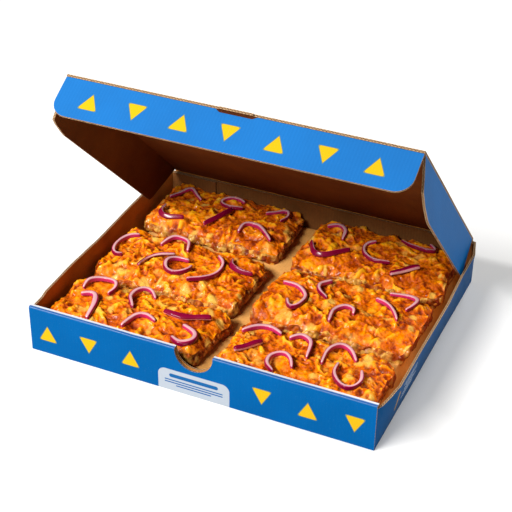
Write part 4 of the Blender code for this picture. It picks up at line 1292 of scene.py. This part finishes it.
def kept_clear(points):
    """Points held off the places that the closed lid's flaps take up: past a soft start, a
    tanh bends the distance so that it never reaches the limit. The front limit leans with z."""
    x, y, z = points[..., 0], points[..., 1], points[..., 2]
    over = np.abs(x) - (CLEAR_X - CLEAR_SOFT)
    held = CLEAR_X - CLEAR_SOFT + CLEAR_SOFT * np.tanh(over / CLEAR_SOFT)
    x = np.where(over > 0, np.sign(x) * held, x)
    limit = CLEAR_Y - CLEAR_LEAN * (np.clip(z, CLEAR_LOW_Z, CLEAR_HIGH_Z) - CLEAR_LOW_Z)
    over = (limit + CLEAR_SOFT) - y
    y = np.where(over > 0, limit + CLEAR_SOFT - CLEAR_SOFT * np.tanh(over / CLEAR_SOFT), y)
    return stack(x, y, z)


TOP_COLUMNS, TOP_ROWS = 310, 162
RAGGED_EDGE, RAGGED_SHIFT = 0.0080, -0.0004
EDGE_Z = 0.032  # at which the topping's outline is held clear of the flaps
# How a slice's edges round down: the sharp drop, the wide drop and the wide one's reach
FRONT_DROP = (0.0026, 0.0052, 0.016)
FRONT_ROW_DROP = (0.0026, 0.0030, 0.016)  # at the front of the slices in the front row
RIGHT_DROP = (0.0028, 0.0026, 0.011)
LEFT_DROP = (0.0020, 0.0012, 0.011)
BACK_DROP = (0.0012, 0.0, 0.008)
SHARP_REACH = 0.0032

# The skirt's rows: how far down it each lies, and how far out it slumps, in millimetres
SKIRT_DOWN = np.array((
    0.03, 0.07, 0.12, 0.17, 0.23, 0.3, 0.37, 0.44, 0.51, 0.58, 0.65, 0.72, 0.79, 0.86, 0.93,
    0.98, 1.0, 0.95, 0.7, 0.3,
))
SKIRT_SLUMP = np.array((
    0.15, 0.32, 0.5, 0.7, 0.88, 1.05, 1.2, 1.35, 1.47, 1.56, 1.62, 1.65, 1.62, 1.5, 1.2,
    0.8, 0.3, -0.3, -0.9, -1.6,
))
SKIRT_TUCK = (0.8, 0.6, 0.4, 0.2, 0.0)  # share of the lumps that the last rows keep
HANG_LEAST, HANG_LUMPS, HANG_MOST = 0.0055, 0.0060, 0.0140
HANG_FRINGE, HANG_FRONT = 0.0020, 0.0020
SKIRT_LUMPS, SKIRT_BEADS, SKIRT_BEANS = 0.0036, 0.0010, 0.0013
STRETCH = 1.3  # of the skirt's noise, down the side
TOP_MIDDLE_FREE = 0.0070


def topping_top(name, corners):
    """The top of a slice's topping as a list of points: the field over the slice, with a ragged
    outline and edges that round down by bell curves of the distance to each side."""
    u, v = np.meshgrid(np.linspace(-1, 1, TOP_COLUMNS), np.linspace(-1, 1, TOP_ROWS), indexing="ij")
    width, depth = slice_size(corners)
    place = slice_place(corners, u, v)
    x, y = place[..., 0], place[..., 1]
    to_front, to_back = (1 + v) * depth / 2, (1 - v) * depth / 2
    to_left, to_right = (1 + u) * width / 2, (1 - u) * width / 2
    edge = np.minimum(np.minimum(to_left, to_right), np.minimum(to_front, to_back))
    ragged = RAGGED_SHIFT + RAGGED_EDGE * (rough_noise(x, y, 20.0, size=0.013, layers=2) - 0.5)
    away = place - place.reshape(-1, 2).mean(axis=0)
    away /= np.linalg.norm(away, axis=-1, keepdims=True) + 1e-9
    place = place + (ragged * np.exp(-((edge / 0.010) ** 2)))[..., None] * away
    place = kept_clear(stack(place[..., 0], place[..., 1], EDGE_Z))
    x, y = place[..., 0], place[..., 1]
    free = field_at("free", x, y)
    front_drop = FRONT_ROW_DROP if "front" in name else FRONT_DROP
    drop = 0.0
    for distance, (sharp, wide, reach) in (
        (to_front, front_drop), (to_right, RIGHT_DROP), (to_left, LEFT_DROP), (to_back, BACK_DROP)
    ):
        near = sharp * np.exp(-((distance / SHARP_REACH) ** 2))
        drop = np.maximum(drop, near + free * wide * np.exp(-((distance / reach) ** 2)))
    return stack(x, y, field_at("height", x, y) - drop).reshape(-1, 3)


def topping_skirt(ring, out, number):
    """The skirt below a slice's rim: rows of points that go down and out by the slump, most of
    all at the front, and tuck in again under it. Lumps, beads and beans push it out. Gives the
    points, and for each of them the lumps, the beans and the beans' own random numbers."""
    x, y = ring[None, :, 0], ring[None, :, 1]
    front = np.clip(-out[:, 1], 0, 1)
    hang = HANG_LEAST + HANG_LUMPS * ease(rough_noise(x, y, 30.0 + number, size=0.012), 0.35, 0.70)
    hang = hang + HANG_FRINGE * noise(x, y, 31.0, size=0.003) + HANG_FRONT * front
    down = SKIRT_DOWN[:, None]
    z = ring[None, :, 2] - np.minimum(hang, HANG_MOST) * down
    lumps = rough_noise(x, y, z * STRETCH, size=0.0050, layers=3) - 0.5
    beads = noise(x, y, z * STRETCH + 3.0, size=0.0022) - 0.5
    girth = np.cumsum(np.linalg.norm(np.diff(ring[:, :2], axis=0, prepend=ring[-1:, :2]), axis=1))
    bean, bean_tone, _ = scattered(girth[None, :] + 0.003 * lumps, z, *BEANS)
    shown = ease(down, 0.0, 0.20)
    shown[-len(SKIRT_TUCK):, 0] = SKIRT_TUCK
    bulge = (SKIRT_LUMPS * lumps + SKIRT_BEADS * beads + SKIRT_BEANS * bean) * shown
    shift = SKIRT_SLUMP[:, None] * MM * (0.5 + 1.4 * front[None, :]) + bulge
    places = ring[None, :, :2] + shift[..., None] * out[None]
    z = z + 0.8 * bulge * (1 - ease(down, 0.1, 0.6))
    return kept_clear(stack(places[..., 0], places[..., 1], z)), lumps, bean, bean_tone


def topping_looks(points, start, out, lumps, bean, bean_tone):
    """Tone, cheese and painted shade of a slice's points: the field's on the top; on the skirt, from
    start on, curds of cheese at the front, and painted shade to the right, low down and in hollows."""
    x, y, z = points.T
    on_skirt = np.arange(len(points)) >= start

    def placed(values):
        """The skirt's values in their places among all the points."""
        spread = np.zeros(len(points))
        spread[start:-1] = np.broadcast_to(values, lumps.shape).ravel()
        return spread

    facing, right = placed(np.clip(-out[:, 1], 0, 1)), placed(np.clip(out[:, 0], 0, 1))
    # Painted shade: the skirt grows darker low down, under the slice's rim.
    below = np.clip((0.0340 - z) / 0.012, 0, 1)
    curds = rough_noise(x, y, z * STRETCH + 0.1, size=0.0065)
    curds = 0.8 * ease(curds, 0.50 - 0.06 * facing, 0.74 - 0.06 * facing)
    curds = np.maximum(curds, placed(ease(bean_tone, 0.45, 0.55) * ease(bean, 0.05, 0.4)))
    # Painted shade in the hollows between lumps and away from the beans.
    hollow = ease(-lumps, 0.02, 0.20) * (1 - ease(bean, 0.1, 0.5))
    hollow = placed(hollow + 0.4 * (1 - ease(bean, 0.0, 0.3)))
    cheese = field_at("cheese", x, y)
    skirt_cheese = np.maximum(0.5 * cheese, curds * (0.15 + 0.62 * facing))
    # Painted shade: the skirt's tone is darker low down and on the right, away from the light.
    skirt_tone = 0.40 + 0.7 * (noise(x, y, z, size=0.004) - 0.5) - 0.22 * below - 0.20 * right
    skirt_crevice_shade = np.clip(0.10 + 0.30 * below + 0.55 * hollow, 0, 1)
    return {
        "tone": np.where(on_skirt, skirt_tone, field_at("tone", x, y)),
        "cheese": np.where(on_skirt, skirt_cheese, cheese),
        "crevice_shade": np.where(on_skirt, skirt_crevice_shade, field_at("crevice_shade", x, y)),
    }


def build_topping(name, corners, number):
    """The topping of one slice: its top, and a lumpy skirt that slumps over the dough's side,
    tucked in under itself and closed by a point in the middle."""
    top = topping_top(name, corners)
    loop = border(TOP_COLUMNS, TOP_ROWS)
    ring = top[loop]
    out = outward(ring[:, :2])
    out = sum(np.roll(out, k, axis=0) for k in (-12, -8, -4, 0, 4, 8, 12))
    out /= np.linalg.norm(out, axis=1, keepdims=True)
    skirt, lumps, bean, bean_tone = topping_skirt(ring, out, number)
    start = len(top)
    rows = start + np.arange(lumps.size).reshape(lumps.shape)
    table = np.concatenate((loop[None], rows))
    wrap = np.concatenate((table, table[:, :1]), axis=1)
    side = np.stack((wrap[:-1, :-1], wrap[:-1, 1:], wrap[1:, 1:], wrap[1:, :-1]), axis=-1)
    side = side.reshape(-1, 4)
    points = np.concatenate((top, skirt.reshape(-1, 3)))
    middle = points[table[-1]].mean(axis=0)
    middle[2] = DOUGH_BOTTOM_Z + DOUGH_HEIGHT - TOP_MIDDLE_FREE
    points = np.concatenate((points, [middle]))
    closing = fan(table[-1], len(points) - 1)
    faces = grid_faces(TOP_COLUMNS, TOP_ROWS)
    if turned_in(points, faces[0], (0, 0, 1)):
        faces = faces[:, ::-1]
    if turned_in(points, side[0], np.append(out[0], 0)):
        side, closing = side[:, ::-1], closing[:, ::-1]
    return new_piece(
        "topping_slice_" + name, points,
        [(faces, topping_skin, None), (side, topping_skin, None), (closing, topping_skin, None)],
        "tray", ("topping_" + name,),
        topping_looks(points, start, out, lumps, bean, bean_tone), sharp=150.0,
    )


for number, (name, corners) in enumerate(SLICES.items()):
    build_dough(name, corners)
    build_topping(name, corners, number)

# ---------------------------------------------------------------- onion strips

SECTION_POINTS = 28
SECTION_POWER = 0.5  # 1 makes an oval, less a squarer section
STRIP_STEP = 0.0009
STRIP_REACH = 0.002  # beside a strip's own width, over which it seeks its level
STRIP_TIP = 0.0005
PLUMPNESS = 1.28
LYING_WIDTH, ROLLED_WIDTH = 0.92, 0.72
LYING_RISE, ROLLED_RISE = 0.0004, 0.0012


def onion_section(half_width, height, roll):
    """A strip's section as (across, up, skin): a rounded four-sided outline, from the power
    form of an oval, turned by the roll. Skin runs from 0 on the inner side to 1 on the outer."""
    turn = np.arange(SECTION_POINTS) / SECTION_POINTS * TAU
    across = np.sign(np.cos(turn)) * np.abs(np.cos(turn)) ** SECTION_POWER
    up = np.sign(np.sin(turn)) * np.abs(np.sin(turn)) ** SECTION_POWER
    across = across * (1 - 0.10 * up)
    a, b = across * half_width, up * height / 2
    skin = np.maximum(ease(across, 0.28, 0.82), 0.50 * ease(-across, 0.60, 0.98))
    c, s = math.cos(roll), math.sin(roll)
    return a * c - b * s, a * s + b * c, skin


def build_onion(number, width, height, points):
    """A strip of red onion: its section carried along the route, narrowing to the ends, with
    the skin on the curve's outer side. It lies on the highest ground beside its route."""
    route = smooth_route(points, STRIP_STEP)
    rows = len(route)
    ahead = np.gradient(route, axis=0)
    ahead /= np.linalg.norm(ahead, axis=1, keepdims=True)
    turning = np.sum(ahead[:-1, 0] * ahead[1:, 1] - ahead[:-1, 1] * ahead[1:, 0])
    side = stack(ahead[:, 1], -ahead[:, 0]) * (1 if turning > 0 else -1)
    share = np.linspace(0, 1, rows)
    fullness = 2 * np.sqrt(share * (1 - share))
    taper = 0.54 + 0.46 * fullness**0.7
    grow = taper * (1 + 0.42 * (noise(route[:, 0], route[:, 1], 40.0, size=0.014) - 0.5))
    half = PLUMPNESS * width * MM / 2
    reach = half * (0.5 + 0.5 * fullness) + STRIP_REACH
    beside = route[:, None] + side[:, None] * (reach[:, None] * np.linspace(-1, 1, 5))[..., None]
    low = carrying_level(beside[..., 0], beside[..., 1]).max(axis=1)
    low = blurred(np.repeat(low[:, None], 3, 1), 3)[:, 0]
    rolled = number in ROLLED
    across, up, skin = onion_section(
        half * (ROLLED_WIDTH if rolled else LYING_WIDTH),
        height * MM + (ROLLED_RISE if rolled else LYING_RISE),
        math.radians(ROLLED.get(number, 0)),
    )
    a = across[None, :] * grow[:, None]
    z = low[:, None] + (up - up.min())[None, :] * (0.45 + 0.55 * grow[:, None])
    grid = stack(route[:, None, 0] + side[:, None, 0] * a, route[:, None, 1] + side[:, None, 1] * a, z)
    first, final = grid[0].mean(axis=0), grid[-1].mean(axis=0)
    tips = (
        first - STRIP_TIP * np.append(ahead[0], 0), final + STRIP_TIP * np.append(ahead[-1], 0)
    )
    flat = np.concatenate((grid.reshape(-1, 3), tips))
    faces = grid_faces(rows, SECTION_POINTS, wrap=True)
    start, last = np.arange(SECTION_POINTS), rows * SECTION_POINTS
    end = start + last - SECTION_POINTS
    caps = np.concatenate((fan(start, last), fan(end, last + 1)[:, ::-1]))
    if turned_in(flat, faces[0], flat[0] - first):
        faces, caps = faces[:, ::-1], caps[:, ::-1]
    along = np.repeat(share * rows * STRIP_STEP, SECTION_POINTS)
    values = {
        "skin": np.append(np.tile(skin, rows), (0.4, 0.4)),
        "along": np.append(along, (0.0, along[-1])),
    }
    return new_piece(
        f"onion_strip_{number:02d}", flat, [(faces, onion_skin, None), (caps, onion_skin, None)],
        "tray", (f"onion_{number:02d}",), values, sharp=70.0,
    )


for number, (width, height, points) in enumerate(ONIONS, start=1):
    build_onion(number, width, height, points)

# ---------------------------------------------------------------- floor, light, camera


FLOOR_HALF, FLOOR_Z = 6.0, -0.0002
FLOOR_WHITE = (0.90, 0.89, 0.87)
SKY_STRENGTH = 0.11
AZIMUTH, ELEVATION, ROLL = 23.91, 32.62, 0.88  # the camera's, in degrees
TARGET, DISTANCE = (-0.04587, 0.09009, 0.0), 1.3464
LENS, SENSOR = 93.53, 36.0  # millimetres


def add_floor():
    """A wide level floor under the box."""
    mesh = bpy.data.meshes.new("floor")
    corners = [(x * FLOOR_HALF, y * FLOOR_HALF, 0) for x, y in ((-1, -1), (1, -1), (1, 1), (-1, 1))]
    mesh.from_pydata(corners, [], [(0, 1, 2, 3)])
    mesh.materials.append(Finish("floor_white").finish(Base_Color=FLOOR_WHITE, Roughness=0.9))
    floor = bpy.data.objects.new("floor", mesh)
    bpy.context.scene.collection.objects.link(floor)
    floor.location.z = FLOOR_Z


def add_area(name, location, target, size, power):
    """A soft light, wide and high by size, aimed at a point."""
    light = bpy.data.lights.new(name, "AREA")
    light.energy = power
    light.shape = "RECTANGLE"
    light.size, light.size_y = size
    lamp = bpy.data.objects.new(name, light)
    bpy.context.scene.collection.objects.link(lamp)
    lamp.location = location
    lamp.rotation_euler = (Vector(target) - Vector(location)).to_track_quat("-Z", "Y").to_euler()


def add_camera():
    """The camera circles the target at an azimuth and an elevation, rolled a little."""
    azimuth, elevation, roll = (math.radians(angle) for angle in (AZIMUTH, ELEVATION, ROLL))
    back = Vector((
        math.sin(azimuth) * math.cos(elevation), -math.cos(azimuth) * math.cos(elevation),
        math.sin(elevation),
    ))
    x = Vector((0, 0, 1)).cross(back).normalized()
    y = back.cross(x)
    x, y = x * math.cos(roll) + y * math.sin(roll), y * math.cos(roll) - x * math.sin(roll)
    lens = bpy.data.cameras.new("camera")
    lens.lens = LENS
    lens.sensor_width = SENSOR
    lens.clip_end = 20.0
    camera = bpy.data.objects.new("camera", lens)
    bpy.context.scene.collection.objects.link(camera)
    turn = Matrix((x, y, back)).transposed().to_4x4()
    camera.matrix_world = Matrix.Translation(Vector(TARGET) + back * DISTANCE) @ turn
    bpy.context.scene.camera = camera


def add_world(strength):
    """An even white sky."""
    world = bpy.data.worlds.new("studio")
    world.use_nodes = True
    background = world.node_tree.nodes["Background"]
    background.inputs["Color"].default_value = (1.0, 1.0, 1.0, 1.0)
    background.inputs["Strength"].default_value = strength
    bpy.context.scene.world = world


add_floor()
add_world(SKY_STRENGTH)
add_area("key", (-0.70, -1.12, 1.20), (0.0, 0.0, 0.05), (1.4, 0.16), 52.0)
add_area("behind", (0.75, 1.7, 1.9), (0.2, 0.8, 0.0), (1.6, 1.2), 45.0)
add_camera()
bpy.context.scene.view_settings.view_transform = "Standard"
